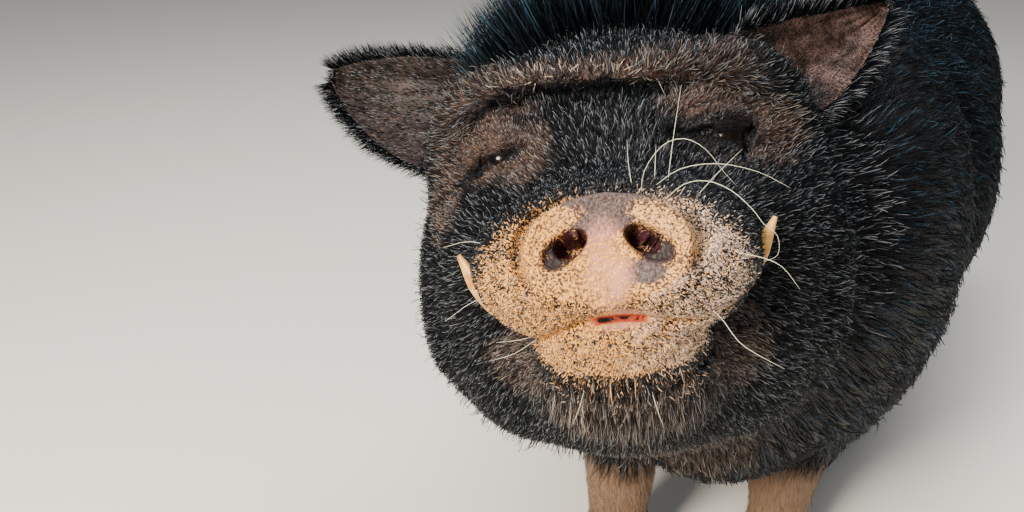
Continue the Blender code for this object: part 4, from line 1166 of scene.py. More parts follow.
def hide_material(look):
    """Living pig hide, dark grey-black and faintly greasy, pink and brown where it is thin.

    Fine crossed creases and pores break its shine. Dried mud sits on the snout as pale grains about
    a millimetre across, thick in some places and worn through to the dark hide in others.
    """
    material, add = new_material("pig_hide")
    place = add("places")
    known = add("attribute", attribute_name="marks")
    dust, brown, pale = add("colour parts", known["Color"])[:3]
    snout = add("attribute", attribute_name="snout")
    disc, hole, hollow = add("colour parts", snout["Color"])[:3]
    slit, aside = snout["Alpha"], aside_and_up(add, place)
    grain, speck = add("noise", place, 1000 / 1.3, 3.0, 0.6), add("noise", place, 1000 / 3.2, 2.0, 0.6)
    cloud = add("noise", place, 1000 / 14.0, 4.0, 0.6)
    # The hide is cut into cells 3.3 mm wide
    creases = add("cells", place, 300.0)
    hide = add("blend", add("span", cloud, 0.35, 0.70), look.hide_black, look.hide_grey)
    flesh = add("blend", add("span", cloud, 0.30, 0.65), look.hide_brown, look.hide_tan)
    browned = add("times", brown, add("span", speck, 0.25, 0.50, 0.55, 1.0))
    base = add("blend", browned, hide, flesh)
    # The fore feet's pale hide, darkened with painted shade
    base = add("blend", pale, base, look.shaded_sock_skin)
    bare = add("blend", add("span", grain, 0.40, 0.62), look.hide_tan, look.snout_grey)
    base = add("blend", disc, base, bare)
    base = add("blend", add("times", hollow, 0.85), base, look.nostril_rim)
    flushed = add("times", known["Alpha"], add("span", grain, 0.36, 0.56, 0.55, 0.95))
    base = add("blend", flushed, base, look.lip_pink)
    thick = add("plus", dust, add("times", add("span", cloud, 0.3, 0.7, -0.5, 0.5), 0.95))
    thick = add("plus", thick, add("span", grain, 0.30, 0.70, -0.85, 0.85))
    thick = add("minus", thick, add("times", known["Alpha"], 0.42))
    thick = add("minus", thick, add("times", hollow, 1.1))
    thick = add("plus", thick, add("times", disc, 0.20))
    mud = add("times", add("span", thick, 0.58, 0.82), add("span", dust, 0.28, 0.50))
    cool = add("plus", aside, add("span", cloud, 0.3, 0.7, -0.030, 0.030))
    cool = add("times", add("span", cool, 0.080, 0.120), add("span", disc, 0.0, 1.0, 1.0, 0.25))
    mud_shade = add("blend", cool, look.mud_gold, look.mud_pale)
    mud_shade = add("blend", add("span", speck, 0.50, 0.64, 0.0, 0.8), mud_shade, look.mud_light)
    mud_shade = add("blend", add("span", grain, 0.56, 0.42, 0.0, 0.9), mud_shade, look.mud_dark)
    base = add("blend", mud, base, mud_shade)
    base = add("blend", add("span", slit, 0.30, 0.46), base, look.lip_red)
    # Painted shadow: the middle of the mouth's slit is painted black; the red beside it is the lip's own
    # colour
    base = add("blend", add("span", slit, 0.53, 0.64), base, look.hide_black)
    base = add("blend", hole, base, look.nostril)
    rough = add("span", mud, 0.0, 1.0, 0.46, 0.85)
    height = add("plus", add("times", mud, grain), add("span", creases, 0.0, 0.25, -0.45, 0.0))
    height = add("plus", height, add("times", speck, 0.4))
    bump = add("bump", height, 0.75, 0.0009)
    add("output", add("surface", base, rough, 1.35, 0.3, more={"Normal": bump}))
    return material


def bristle_material(look, name, light, gloss, shine):
    """Bristle, a thick hard hair: near black with a cold sheen, paler to its tip and where dusty, and
    black in the folds as painted shade. The pale tips are partly real and partly painted highlights,
    blue-grey on the crest and trunk as painted sheen.

    The sheen is the light that the hair's scales give back, so it is set as a tint of the gloss.
    """
    material, add = new_material(name)
    known = add("attribute", attribute_name="marks")
    dust, brown, pale = add("colour parts", known["Color"])[:3]
    chance, along = add("axes", add("attribute", attribute_name="strand")["Vector"])[:2]
    tips = add("times", along, along)
    # Pale tips: partly real grey tips, partly painted highlights on the bright strands
    bright = add("times", tips, add("span", chance, 0.70, 0.90))
    tipped = add("blend", bright, look.coat_deep, light)
    own_warmth = add("fraction", add("times", chance, 23.0))
    warmth = add("times", tips, add("span", own_warmth, 0.35, 0.85))
    warm = add("blend", warmth, look.hair_brown, look.hair_tan)
    base = add("blend", add("span", add("minus", brown, chance), 0.0, 0.20), tipped, warm)
    # The fore feet's pale hair, darkened with painted shade
    sock = add("blend", chance, look.shaded_sock_hair, look.shaded_light_sock_hair)
    base = add("blend", pale, base, sock)
    draw = add("fraction", add("times", chance, 37.0))
    aside = aside_and_up(add, add("places"))
    paler = add("greater", add("span", aside, 0.070, 0.115), brown)
    bright_dust = add("blend", paler, look.mud_light, look.mud_pale)
    dull_dust = add("blend", paler, look.hair_dust, look.hair_tan)
    dusted = add("blend", add("span", draw, 0.2, 0.8), dull_dust, bright_dust)
    picked = add("span", add("minus", add("times", dust, 0.65), chance), 0.0, 0.04)
    base = add("blend", add("times", picked, add("span", along, 0.05, 0.40)), base, dusted)
    # Painted shade: hair in the face's folds is painted black
    base = add("blend", add("times", known["Alpha"], 0.94), base, look.coat_deep)
    add("output", add("surface", base, gloss, 1.22, shine, more={"Specular Tint": look.sheen}))
    return material


def ear_material(look):
    """Thin ear hide: brown and faintly pink inside, black outside and along the rim, softly veined."""
    material, add = new_material("ear_hide")
    place = add("places")
    inner = add("attribute", attribute_name="inner")["Fac"]
    cloud, speck = add("noise", place, 1000 / 16.0, 4.0, 0.6), add("noise", place, 1000 / 2.2, 3.0, 0.6)
    flesh = add("blend", add("span", cloud, 0.35, 0.65), look.hide_brown, look.ear_pink)
    flesh = add("blend", add("span", speck, 0.50, 0.75, 0.0, 0.6), flesh, look.hide_black)
    base = add("blend", inner, look.hide_black, flesh)
    height = add("plus", speck, add("times", cloud, 2.0))
    bump = add("bump", height, 0.5, 0.0008)
    add("output", add("surface", base, 0.52, 1.42, 0.25, more={"Normal": bump}))
    return material


# The pupil's black, and the angles off the gaze over which the pupil and the iris end
PUPIL_BLACK, PUPIL_EDGE, IRIS_EDGE = (0.002, 0.002, 0.002, 1.0), (0.20, 0.26), (0.60, 0.74)


def eye_material(look):
    """A wet eye: black pupil, dark brown iris with radial flecks, a dull rim, under a clear gloss.
    The iris is darkened further as painted shade.
    """
    material, add = new_material("wet_eye")
    place = add("places")
    off_axis = add("attribute", attribute_name="off_axis")["Fac"]
    flecks = add("noise", place, 1000 / 0.8, 4.0, 0.7)
    iris = add("blend", add("span", flecks, 0.35, 0.65), look.iris_dark, look.iris_light)
    base = add("blend", add("span", off_axis, *PUPIL_EDGE), PUPIL_BLACK, iris)
    base = add("blend", add("span", off_axis, *IRIS_EDGE), base, look.eye_rim)
    add("output", add("surface", base, 0.16, 1.376, 0.25))
    return material


def tusk_material(look):
    """Tusk ivory: cream, stained orange in streaks toward the gum, polished with fine long scratches."""
    material, add = new_material("tusk_ivory")
    place = add("places")
    cloud, streak = add("noise", place, 1000 / 7.0, 4.0, 0.6), add("noise", place, 1000 / 0.9, 2.0, 0.6)
    base = add("blend", add("span", cloud, 0.35, 0.62), look.ivory, look.tusk_stain)
    base = add("blend", add("span", streak, 0.58, 0.75, 0.0, 0.6), base, look.tusk_dirt)
    bump = add("bump", streak, 0.35, 0.0004)
    add("output", add("surface", base, 0.36, 1.54, more={"Normal": bump}))
    return material


HORN_BAND = 0.0032


def horn_material(look):
    """Hoof horn: dark grey-brown in level growth bands, paler where it is scuffed at the sole."""
    material, add = new_material("hoof_horn")
    place = add("places")
    height = add("axes", place)[2]
    cloud, grit = add("noise", place, 1000 / 9.0, 4.0, 0.6), add("noise", place, 1000 / 1.1, 3.0, 0.6)
    wavy = add("plus", height, add("times", cloud, 0.004))
    bands = add("sine", add("times", wavy, 2 * math.pi / HORN_BAND))
    base = add("blend", add("span", bands, -1.0, 1.0), look.horn_dark, look.horn_light)
    scuffed = add("times", add("span", height, 0.009, 0.0), add("span", grit, 0.40, 0.60))
    base = add("blend", scuffed, base, look.mud_pale)
    relief = add("plus", bands, add("times", grit, 1.2))
    bump = add("bump", relief, 0.5, 0.0004)
    add("output", add("surface", base, 0.50, 1.54, more={"Normal": bump}))
    return material


def plain_material(name, shade, rough):
    """A matt even finish, for the stage and the whiskers."""
    material, add = new_material(name)
    add("output", add("surface", shade, rough))
    return material


# Sizes, counts and colours that a user would change


def tone(name, description, shade):
    """A colour property whose default is an sRGB hex value."""
    return FloatVectorProperty(
        name=name, description=description, subtype="COLOR", min=0.0, max=1.0, default=colour(shade)
    )


def metres(name, description, size):
    """A length property."""
    return FloatProperty(name=name, description=description, default=size, unit="LENGTH")


class PigLook(bpy.types.PropertyGroup):
    """Colours of the hide, the hair, the mud and the horn."""

    hide_black: tone("Hide black", "Darkest hide under the coat", "0c0a0a")
    hide_grey: tone("Hide grey", "Lighter patches of the dark hide", "1a1615")
    hide_brown: tone("Hide brown", "Hide of the brow, the eye folds and the ears", "241813")
    hide_tan: tone("Hide tan", "Lighter hide of the folds", "43302a")
    snout_grey: tone("Snout grey", "Bare hide of the disc", "5e5452")
    lip_red: tone("Lip red", "Slit of the mouth", "a8432a")
    nostril_rim: tone("Nostril rim", "Hide of the nostrils' hollows", "211b1d")
    nostril: tone("Nostril", "Hide inside the nostrils", "4a1a2b")
    ear_pink: tone("Ear flesh", "Thin flesh inside the ears", "5f4a44")
    # Real pale tan of the fore feet, darkened with painted shade
    shaded_sock_skin: tone("Sock hide", "Hide under the pale hair of the fore feet", "6e5646")
    lip_pink: tone("Lip pink", "Bare skin of the lips and the snout's middle", "ea9f88")
    mud_light: tone("Light mud", "Warm light grains on the snout", "f5b568")
    mud_pale: tone("Pale mud", "Dry grains on the snout", "dcbda4")
    mud_gold: tone("Golden mud", "Warmer grains on the snout", "dd9a4a")
    hair_dust: tone("Hair dust", "Duller dust on the hair", "a3805f")
    mud_dark: tone("Dark mud", "Hollows between the grains", "54402f")
    coat_deep: tone("Coat black", "Darkest hair", "030406")
    # Partly real grey hair tips, partly painted highlights on the strands
    coat_tips_and_highlight: tone("Coat grey", "Lighter hair and hair tips", "8f949b")
    hair_brown: tone("Brown hair", "Hair of the brow and folds", "130d0b")
    hair_tan: tone("Tan hair", "Lighter hair of the brow and folds", "a39387")
    # Real pale tan hair of the fore feet, darkened with painted shade
    shaded_sock_hair: tone("Sock hair", "Hair of the fore feet", "65503f")
    shaded_light_sock_hair: tone("Light sock hair", "Lightest hair of the fore feet", "8a7158")
    # Painted sheen: blue-grey hair tips stand in for the cold gloss of black hair
    crest_painted_sheen: tone("Crest grey", "Lighter hair of the crest", "38566b")
    sheen: tone("Sheen", "Cold gloss of the hair", "a9c4d6")
    whisker: tone("Whisker", "Long pale bristles", "cfcdb6")
    ivory: tone("Ivory", "Clean tusk", "dcae60")
    tusk_stain: tone("Tusk stain", "Tusk near the gum", "b8741f")
    tusk_dirt: tone("Tusk dirt", "Dirt in the tusk's scratches", "6b4a24")
    horn_dark: tone("Dark horn", "Hoof", "2f2a27")
    horn_light: tone("Light horn", "Growth bands of the hoof", "5d5248")
    # Dark brown iris, darkened further as painted shade
    iris_dark: tone("Dark iris", "Iris between its flecks", "0e0705")
    iris_light: tone("Light iris", "Flecks of the iris", "1a0e08")
    eye_rim: tone("Eye rim", "Eyeball past the iris", "1c1312")
    stage: tone("Stage", "Floor", "e4e0d8")


class PigSizes(bpy.types.PropertyGroup):
    """Sizes and counts of the skin and coat."""

    voxel: metres("Voxel", "Grid on which the masses are joined", 0.0086)
    face_length: metres("Face hair", "Hair between snout and brow", 0.0085)
    trunk_length: metres("Trunk hair", "Hair of the trunk and neck", 0.034)
    crest_length: metres("Crest hair", "Long hair between the ears", 0.056)
    coat_count: IntProperty(name="Coat", description="Hairs of the short coat", default=190000, min=1000)
    crest_count: IntProperty(name="Crest", description="Hairs of the crest", default=30000, min=100)
    ear_count: IntProperty(name="Ear hair", description="Hairs of each ear", default=16000, min=100)
    seed: IntProperty(name="Seed", description="Seed of every random draw", default=11)


# Coat


def hair_length(points, face, trunk):
    """Length at each place: least on the muzzle and the feet, most on the neck and trunk.

    It grows in three steps with the distance behind the disc. Round the eyes it is less than half,
    and under the belly and down the legs it shrinks again.
    """
    local = in_head(points)
    length = face * 0.34 + face * 0.66 * ramp(local[:, 1], 0.040, 0.100)
    length += face * 0.9 * ramp(local[:, 1], 0.140, 0.200)
    length += (trunk - 1.9 * face) * ramp(local[:, 1], 0.200, 0.340)
    body = ramp(local[:, 1], 0.24, 0.34)
    for side in SIDES.values():
        near = np.linalg.norm(local - EYE_PLACE * (side, 1.0, 1.0), axis=1)
        length = length * (1.0 - 0.55 * ramp(near, 0.046, 0.024))
    belly = 1.0 - 0.30 * body * ramp(points[:, 2], 0.24, 0.16)
    return length * belly * (1.0 - 0.60 * body * ramp(points[:, 2], 0.17, 0.10))


# How much closer the hair stands on the face, the muzzle and the feet than on the trunk
FACE_CLOSER, MUZZLE_CLOSER, FEET_CLOSER = 6.5, 5.0, 1.8


def coat_density(points):
    """How close the short hair stands: 1 on the trunk, and more where the hair is short."""
    local = in_head(points)
    face = ramp(local[:, 1], 0.220, 0.130)
    muzzle = ramp(local[:, 1], 0.090, 0.060)
    feet = ramp(points[:, 2], 0.150, 0.100) * (1.0 - face)
    return 1.0 + FACE_CLOSER * face + MUZZLE_CLOSER * muzzle + FEET_CLOSER * feet


def haired(points, normals):
    """True where hair grows: not on the snout disc, the eyes, the lips' slit or the soles."""
    local = in_head(points)
    disc = (local[:, 1] < 0.020) & (disc_ratio(local) < 1.04)
    aside = np.stack([np.abs(local[:, 0]), local[:, 1], local[:, 2]], axis=1)
    eyes = np.linalg.norm(aside - EYE_PLACE, axis=1) < EYE_RADIUS + 0.0015
    lips = (mouth_distance(local) < 0.0020) | (blob(local, *LIPS, soft=0.5) > 0.35)
    return ~(disc | eyes | lips | (points[:, 2] < HOOF_HEIGHT * 0.75))


COAT_PARTS = ("snout", "cheeks", "brow", "neck", "shoulders", "flanks", "rump")
# The width of a short hair and of a long one, and the share of hairs that stand out of the coat
FINE_HAIR, COARSE_HAIR, WILD_HAIRS = 0.00042, 0.00122, 0.06
# The shortest and longest hair of a place, as shares of its length
SHORT_SPREAD, LONG_SPREAD = (0.70, 1.20), (0.55, 1.05)
LONG_DROOP = 0.10


def lay_coat(skin, sizes, face_hair, trunk_hair):
    """The short coat: hairs that hug the skin, sorted from snout to rump and cut into like pieces."""
    chance = np.random.default_rng(sizes.seed)
    roots, normals = sown(skin, sizes.coat_count, coat_density, chance)
    kept = haired(roots, normals)
    roots, normals = roots[kept], normals[kept]
    local = in_head(roots)
    # The head's hairs come first, and lie 2 m before the trunk's in this order
    order = np.argsort(np.where(local[:, 1] < 0.30, local[:, 1] - 2.0, roots[:, 1]))
    for name, part in zip(COAT_PARTS, np.array_split(order, len(COAT_PARTS)), strict=True):
        spots, upward = roots[part], normals[part]
        own = in_head(spots)
        length = hair_length(spots, sizes.face_length, sizes.trunk_length)
        length = length * chance.uniform(*SHORT_SPREAD, len(spots))
        width = FINE_HAIR + (COARSE_HAIR - FINE_HAIR) * ramp(length, 0.010, 0.032)
        rise = 0.10 + 0.10 * ramp(own[:, 1], 0.10, 0.17) * ramp(own[:, 1], 0.30, 0.20)
        stand = length * (rise + chance.uniform(0.0, 0.16, len(spots)))
        wild = chance.random(len(spots)) < WILD_HAIRS
        face = ramp(own[:, 1], 0.26, 0.20)
        length = length * (1.0 + 0.5 * wild)
        stand = stand * (0.65 + 0.35 * face) * (1.0 + (0.8 + 1.4 * face) * wild)
        marked = marks(spots)
        # The hairs' fourth mark is painted shade, which blackens them in the face's folds
        marked[:, 3] = shade(own)
        lies = combed(spots, upward, chance, 0.16 + 0.55 * marked[:, :1])
        hairs = blades(spots, upward, lies, length, width, stand, chance, hug=True)
        mesh = hair_mesh("coat_" + name, hairs, spots, marked, chance)
        show("coat_" + name, mesh, trunk_hair if own[:, 1].min() > 0.16 else face_hair, "coat_black")


def crown_share(points):
    """Where the long hair between the ears grows."""
    return blob(in_head(points), (0.0, 0.212, 0.150), (0.088, 0.062, 0.060), soft=0.25)


def mane_share(points):
    """Where the mane grows: a strip over the nape and shoulders."""
    local = in_head(points)
    top = ramp(points[:, 2], 0.44, 0.50)
    return top * ramp(np.abs(points[:, 0] - 0.03), 0.062, 0.036) * ramp(local[:, 1], 0.23, 0.27) * ramp(
        points[:, 1], -0.16, -0.22
    )


def back_share(points):
    """Where the crest of the back grows: a narrow strip down the spine."""
    straight = points[:, 0] - 0.5 * SPINE_BEND * points[:, 1] ** 2
    strip = ramp(np.abs(straight), 0.052, 0.026) * ramp(points[:, 2], 0.42, 0.46)
    return strip * ramp(points[:, 1], -0.22, -0.16) * ramp(points[:, 1], 0.42, 0.34)


def beard_share(points):
    """Where the beard grows: under the chin, behind the lip."""
    return blob(in_head(points), (0.0, 0.066, -0.081), (0.050, 0.050, 0.020))


def tuft_share(points):
    """Where the tail's tuft grows."""
    return ramp(points[:, 1], 0.520, 0.540) * ramp(points[:, 2], 0.330, 0.280)


def standing(points, normals, name):
    """The way the long hair of a patch points: up and out, back, or down."""
    local = in_head(points)
    up = np.array((0.0, 0.0, 1.0))
    if name == "crown":
        return unit(local - (0.0, 0.195, 0.030)) @ HEAD_TURN.T * 0.8 + normals * 0.35 + up * 0.35
    if name == "mane":
        low = ramp(points[:, 1], -0.40, -0.24)[:, None]
        return (normals * 0.7 + up * 0.4) * (1.0 - 0.65 * low) + np.array((0.0, 0.55, 0.0)) * (1.0 + low)
    if name == "back":
        return normals * 0.35 + np.array((0.0, 1.0, 0.05))
    if name == "beard":
        return np.array((0.0, 0.35, -1.0)) + 0.25 * normals
    return np.array((0.05, 0.10, -1.0)) + 0.30 * normals


# Name: its share of the long hairs, length in crest lengths, width and stray
LONG_HAIR = {
    "crown": (crown_share, 0.40, 1.00, 0.00065, 0.20),
    "mane": (mane_share, 0.24, 0.95, 0.0010, 0.18),
    "back": (back_share, 0.26, 0.85, 0.0011, 0.16),
    "beard": (beard_share, 0.06, 0.36, 0.00038, 0.16),
    "tail_tuft": (tuft_share, 0.08, 0.80, 0.0008, 0.14),
}


def lay_long_hair(skin, sizes, long, beard):
    """The long hair: each strand leaves its root the way its patch points and droops to its tip."""
    chance = np.random.default_rng(sizes.seed + 1)
    for name, (share, part, longest, width, stray) in LONG_HAIR.items():
        roots, normals = sown(skin, round(sizes.crest_count * part), share, chance)
        lies = unit(standing(roots, normals, name) + stray * chance.normal(size=roots.shape))
        length = sizes.crest_length * longest * chance.uniform(*LONG_SPREAD, len(roots))
        length *= 1.0 - (0.45 * ramp(roots[:, 1], -0.38, -0.22) if name == "mane" else 0.0)
        droop = -LONG_DROOP * length
        across = unit(np.cross(lies, (0.05, 0.02, 1.0)))
        over = np.cross(across, lies)
        hairs = blades(roots, over, lies, length, width, droop, chance, twist=1.2, sway=0.10)
        marked = marks(roots) * (0.3, 1.0, 1.0, 0.0)
        mesh = hair_mesh(name, hairs, roots, marked, chance)
        show(name, mesh, beard if name == "beard" else long, "coat_black")


def lay_ear_hair(side, mesh, sizes, material):
    """Short hair over an ear, fanning out from its root, and a fringe that stands off its rim."""
    chance = np.random.default_rng(sizes.seed + (2 if side == "left" else 3))
    count = sizes.ear_count
    roots, normals = sown(mesh, count, lambda points: np.ones(len(points)), chance)
    middle = np.zeros((1, 1, 1))
    base, tip = (ear_sheet(side, middle + u, middle)[0, 0] for u in (0.0, 1.0))
    along = unit(tip - base)
    fan = unit(roots - (base - 0.05 * along))
    lies = on_skin(fan + 0.14 * chance.normal(size=roots.shape), normals)
    inside = ((normals @ (HEAD_TURN @ (0.0, -1.0, 0.0))) > 0.0).astype(float)
    sparse = (inside < 0.5) | (chance.random(count) < EAR_HAIR_INSIDE)
    roots, normals, lies, inside = roots[sparse], normals[sparse], lies[sparse], inside[sparse]
    count = len(roots)
    length = (EAR_HAIR - EAR_HAIR_LESS * inside) * chance.uniform(0.6, 1.2, count)
    stand = length * (0.14 + 0.20 * chance.random(count))
    hairs = [blades(roots, normals, lies, length, EAR_HAIR_WIDTH, stand, chance)]
    rim = count // 3
    u = chance.uniform(0.04, 0.99, (rim, 1, 1))
    v = np.where(chance.random((rim, 1, 1)) < 0.5, -1.0, 1.0) * chance.uniform(0.90, 0.995, (rim, 1, 1))
    edge = ear_sheet(side, u, v)[:, 0]
    outward = unit(edge - ear_sheet(side, u, v * 0.9)[:, 0])
    off = unit(np.cross(outward, along))
    lies = unit(outward * 0.8 + along * 0.75 + 0.16 * chance.normal(size=edge.shape))
    length = chance.uniform(*EAR_FRINGE, rim)
    hairs.append(blades(edge, off, lies, length, EAR_HAIR_WIDTH, 0.0, chance, twist=1.2))
    spots = np.concatenate([roots, edge])
    inside = np.concatenate([inside, np.zeros(rim)])
    marked = np.zeros((len(spots), 4))
    # The right ear's hair is less brown, painted shade
    marked[:, 1] = EAR_BROWN_AND_SHADE[side][0] * inside

    def unwrap(points):
        """Along the ear up, across it aside, with the inside and the outside on halves of their own."""
        across = unit(np.cross(along, (0.0, 1.0, 0.0)))
        place = (points - base) @ np.stack([across / 0.30, along / 0.25], axis=1) + (0.25, 0.1)
        return np.clip(place, 0.01, (0.48, 0.98)) + inside[:, None] * (0.5, 0.0)

    name = "ear_hair_" + side
    mesh = hair_mesh(name, np.concatenate(hairs), spots, marked, chance, unwrap)
    show(name, mesh, material, "coat_black")


# Soft boxes: name, place, width, power and colour, all turned to one aim
LIGHTS = [
    ("key", (-0.30, -2.1, 1.45), 0.6, 120.0, (1.0, 0.91, 0.79)),
    ("top", (0.2, 0.1, 2.5), 1.6, 60.0, (1.0, 1.0, 1.0)),
]
LIGHTS_AIM = (0.0, -0.35, 0.3)
SKY_COLOUR, SKY_STRENGTH, FLOOR_HALF = (0.92, 0.96, 1.0, 1.0), 0.33, 9.0

# The photo's camera: lens and sensor in millimetres, place, right side and degrees that it looks down
CAMERA_LENS, CAMERA_SENSOR = 30.23, 36.0
CAMERA_PLACE, CAMERA_RIGHT, CAMERA_DOWN = (0.158, -1.003, 0.63), (0.8829, 0.4695, 0.0), 25.0


# Operators


class PigPiece:
    """What the pig's operators share."""

    bl_options = {"REGISTER", "UNDO"}

    @staticmethod
    def skin():
        """The skin's mesh, which the coat grows on."""
        if "skin" not in bpy.data.objects:
            raise RuntimeError("make the skin before its coat")
        return bpy.data.objects["skin"].data


class AddSkin(PigPiece, bpy.types.Operator):
    """Melt the masses of the pig into one skin with its folds, snout disc and lips"""

    bl_idname = "pig.add_skin"
    bl_label = "Skin"

    def execute(self, context):
        sizes = context.scene.pig_sizes
        mesh = remeshed(rough_skin(), sizes.voxel)
        move_points(mesh, settled(points_of(mesh), 4))
        mesh = evened(mesh, in_front_of(EVENED), 3)
        for back in FINER:
            mesh = refined(mesh, in_front_of(back))
        mesh = refined(mesh, detailed)
        set_attribute(mesh, "marks", "FLOAT_COLOR", "color", marks(points_of(mesh)))
        set_attribute(mesh, "snout", "FLOAT_COLOR", "color", snout_marks(points_of(mesh)))
        nodes = ["head", "neck", "torso", "tail", "foreleg_l", "foreleg_r", "hindleg_l", "hindleg_r"]
        show("skin", mesh, hide_material(context.scene.pig_look), "coat_black", *nodes)
        return {"FINISHED"}


class AddEars(PigPiece, bpy.types.Operator):
    """Make both ears with their ridges, their short hair and their fringes"""

    bl_idname = "pig.add_ears"
    bl_label = "Ears"

    def execute(self, context):
        look, sizes = context.scene.pig_look, context.scene.pig_sizes
        material = ear_material(look)
        hair = bristle_material(look, "ear_bristle", look.coat_tips_and_highlight, 0.60, 0.25)
        for side, node in (("left", "ear_l"), ("right", "ear_r")):
            points, quads, fans, inner = ear_surface(side)
            mesh = new_mesh("ear_" + side, points, quads, fans)
            # The right ear's inner hide is scaled down, painted shade that darkens it
            set_attribute(mesh, "inner", "FLOAT", "value", inner * EAR_BROWN_AND_SHADE[side][1])
            show("ear_" + side, mesh, material, "ear_hide", node)
            lay_ear_hair(side, mesh, sizes, hair)
        return {"FINISHED"}


class AddEyes(PigPiece, bpy.types.Operator):
    """Make the two small deep-set eyes"""

    bl_idname = "pig.add_eyes"
    bl_label = "Eyes"

    def execute(self, context):
        material = eye_material(context.scene.pig_look)
        for side, node in (("left", "eye_l"), ("right", "eye_r")):
            *surface, off_axis = eyeball_surface(side)
            mesh = new_mesh("eye_" + side, *surface)
            set_attribute(mesh, "off_axis", "FLOAT", "value", off_axis)
            show("eye_" + side, mesh, material, "eye", node)
        return {"FINISHED"}


class AddTusks(PigPiece, bpy.types.Operator):
    """Make the four short tusks"""

    bl_idname = "pig.add_tusks"
    bl_label = "Tusks"

    def execute(self, context):
        material = tusk_material(context.scene.pig_look)
        for kind, form in TUSKS.items():
            for side in SIDES:
                name = f"tusk_{kind}_{side}"
                mesh = new_mesh(name, *tusk_surface(form, side))
                show(name, mesh, material, "ivory", f"tusk_{kind}_{side[0]}")
        return {"FINISHED"}


class AddHooves(PigPiece, bpy.types.Operator):
    """Make eight hooves and eight dewclaws, with growth bands in their horn"""

    bl_idname = "pig.add_hooves"
    bl_label = "Hooves"

    def execute(self, context):
        material = horn_material(context.scene.pig_look)
        for foot, side, sign, sole in feet():
            hooves = [hoof_surface(sole, across) for across in (-1.0, 1.0)]
            claws = [dewclaw_surface(sole, across) for across in (-1.0, 1.0)]
            for kind, surfaces in (("hoof", hooves), ("dewclaw", claws)):
                name = f"{kind}_{foot}_{side}"
                nodes = [f"{kind}_{foot}_{side[0]}_{where}" for where in ("inner", "outer")]
                show(name, new_mesh(name, *joined(surfaces)), material, "hoof_horn", *nodes)
        return {"FINISHED"}


class AddCoat(PigPiece, bpy.types.Operator):
    """Lay the short coat over the whole skin"""

    bl_idname = "pig.add_coat"
    bl_label = "Short coat"

    def execute(self, context):
        look, sizes = context.scene.pig_look, context.scene.pig_sizes
        short = bristle_material(look, "face_bristle", look.coat_tips_and_highlight, 0.6, 0.35)
        # The trunk's hair tips are painted blue-grey, a painted sheen
        long = bristle_material(look, "trunk_bristle", look.crest_painted_sheen, 0.6, 0.3)
        lay_coat(self.skin(), sizes, short, long)
        return {"FINISHED"}


class AddLongHair(PigPiece, bpy.types.Operator):
    """Grow the crown, mane, back crest, beard and tail tuft"""

    bl_idname = "pig.add_long_hair"
    bl_label = "Long hair"

    def execute(self, context):
        look, sizes = context.scene.pig_look, context.scene.pig_sizes
        # The crest's hair tips are painted blue-grey, a painted sheen
        material = bristle_material(look, "crest_bristle", look.crest_painted_sheen, 0.45, 1.0)
        beard = bristle_material(look, "beard_bristle", look.coat_tips_and_highlight, 0.6, 0.35)
        lay_long_hair(self.skin(), sizes, material, beard)
        return {"FINISHED"}


class AddWhiskers(PigPiece, bpy.types.Operator):
    """Draw the long curved whiskers of the snout and chin"""

    bl_idname = "pig.add_whiskers"
    bl_label = "Whiskers"

    def execute(self, context):
        material = plain_material("whisker_bristle", context.scene.pig_look.whisker, 0.45)
        mesh = new_mesh("whiskers", *joined([whisker_surface(points) for points in WHISKERS]))
        show("whiskers", mesh, material, "coat_black")
        return {"FINISHED"}


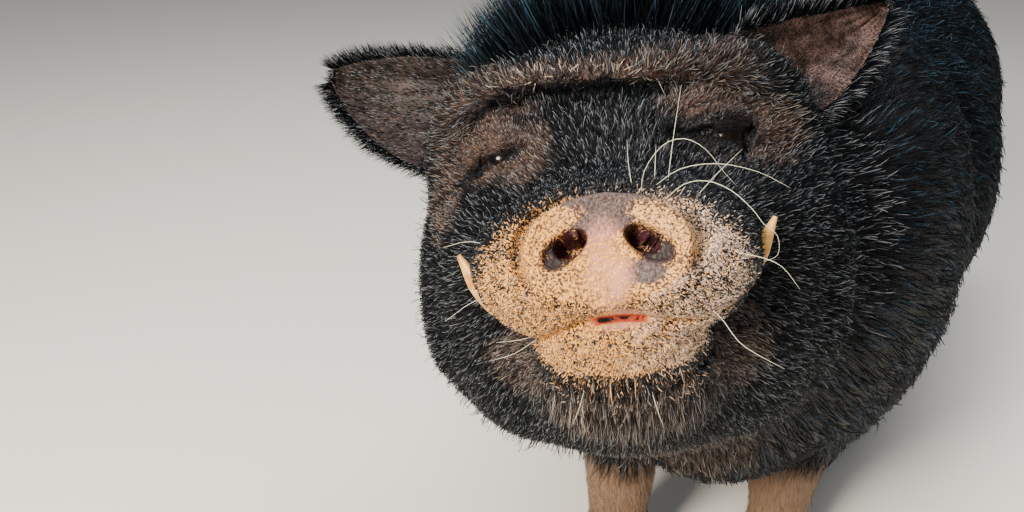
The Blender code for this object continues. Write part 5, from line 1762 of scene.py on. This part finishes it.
class AddStage(PigPiece, bpy.types.Operator):
    """Put the floor, the soft lights and the camera around the pig"""

    bl_idname = "pig.add_stage"
    bl_label = "Stage"

    def execute(self, context):
        scene = context.scene
        edge = np.array(((-1, -1), (1, -1), (1, 1), (-1, 1))) * FLOOR_HALF
        corners = np.concatenate([edge, np.zeros((4, 1))], axis=1) - ORIGIN * (1, 1, 0)
        corners[:, 2] = CAD_BOX[0][2] - ORIGIN[2]
        floor = bpy.data.objects.new("floor", new_mesh("floor", corners, np.array([[0, 1, 2, 3]])))
        floor.data.materials.append(plain_material("matt_floor", scene.pig_look.stage, 0.9))
        scene.collection.objects.link(floor)
        for name, place, size, power, shade in LIGHTS:
            light = bpy.data.lights.new(name, "AREA")
            light.shape, light.size, light.energy, light.color = "DISK", size, power, shade
            lamp = bpy.data.objects.new(name, light)
            lamp.location = place
            toward = Vector(LIGHTS_AIM) - Vector(place)
            lamp.rotation_euler = toward.to_track_quat("-Z", "Y").to_euler()
            scene.collection.objects.link(lamp)
        world = bpy.data.worlds.new("studio")
        world.use_nodes = True
        sky = world.node_tree.nodes["Background"]
        sky.inputs["Color"].default_value = SKY_COLOUR
        sky.inputs["Strength"].default_value = SKY_STRENGTH
        scene.world = world
        camera = bpy.data.cameras.new("camera")
        camera.lens, camera.sensor_width = CAMERA_LENS, CAMERA_SENSOR
        eye = bpy.data.objects.new("camera", camera)
        right = Vector(CAMERA_RIGHT)
        level = Vector((-right.y, right.x, 0.0))
        down = math.radians(CAMERA_DOWN)
        back = level * -math.cos(down) + Vector((0.0, 0.0, math.sin(down)))
        turn = Matrix((right, back.cross(right), back)).transposed()
        eye.matrix_world = Matrix.Translation(Vector(CAMERA_PLACE) + Vector(ORIGIN)) @ turn.to_4x4()
        scene.collection.objects.link(eye)
        scene.camera = eye
        return {"FINISHED"}


class PIG_PT_pieces(bpy.types.Panel):
    """Lists the pieces of the pig, its sizes and its colours"""

    bl_label = "Domestic pig"
    bl_space_type = "VIEW_3D"
    bl_region_type = "UI"
    bl_category = "Pig"

    def draw(self, context):
        for operator in OPERATORS:
            self.layout.operator(operator.bl_idname)
        for group in (context.scene.pig_sizes, context.scene.pig_look):
            box = self.layout.box()
            for name in group.__annotations__:
                box.prop(group, name)


OPERATORS = (AddSkin, AddEars, AddEyes, AddTusks, AddHooves, AddCoat, AddLongHair, AddWhiskers, AddStage)
CLASSES = (PigLook, PigSizes, *OPERATORS, PIG_PT_pieces)


def register():
    """Makes the sizes, colours, operators and panel known to Blender."""
    for part in CLASSES:
        bpy.utils.register_class(part)
    bpy.types.Scene.pig_look = PointerProperty(type=PigLook)
    bpy.types.Scene.pig_sizes = PointerProperty(type=PigSizes)


def unregister():
    """Takes them away again."""
    del bpy.types.Scene.pig_sizes
    del bpy.types.Scene.pig_look
    for part in reversed(CLASSES):
        bpy.utils.unregister_class(part)


def main():
    """Makes every piece and the stage."""
    register()
    bpy.ops.pig.add_skin()
    bpy.ops.pig.add_ears()
    bpy.ops.pig.add_eyes()
    bpy.ops.pig.add_tusks()
    bpy.ops.pig.add_hooves()
    bpy.ops.pig.add_coat()
    bpy.ops.pig.add_long_hair()
    bpy.ops.pig.add_whiskers()
    bpy.ops.pig.add_stage()


if __name__ == "__main__":
    main()
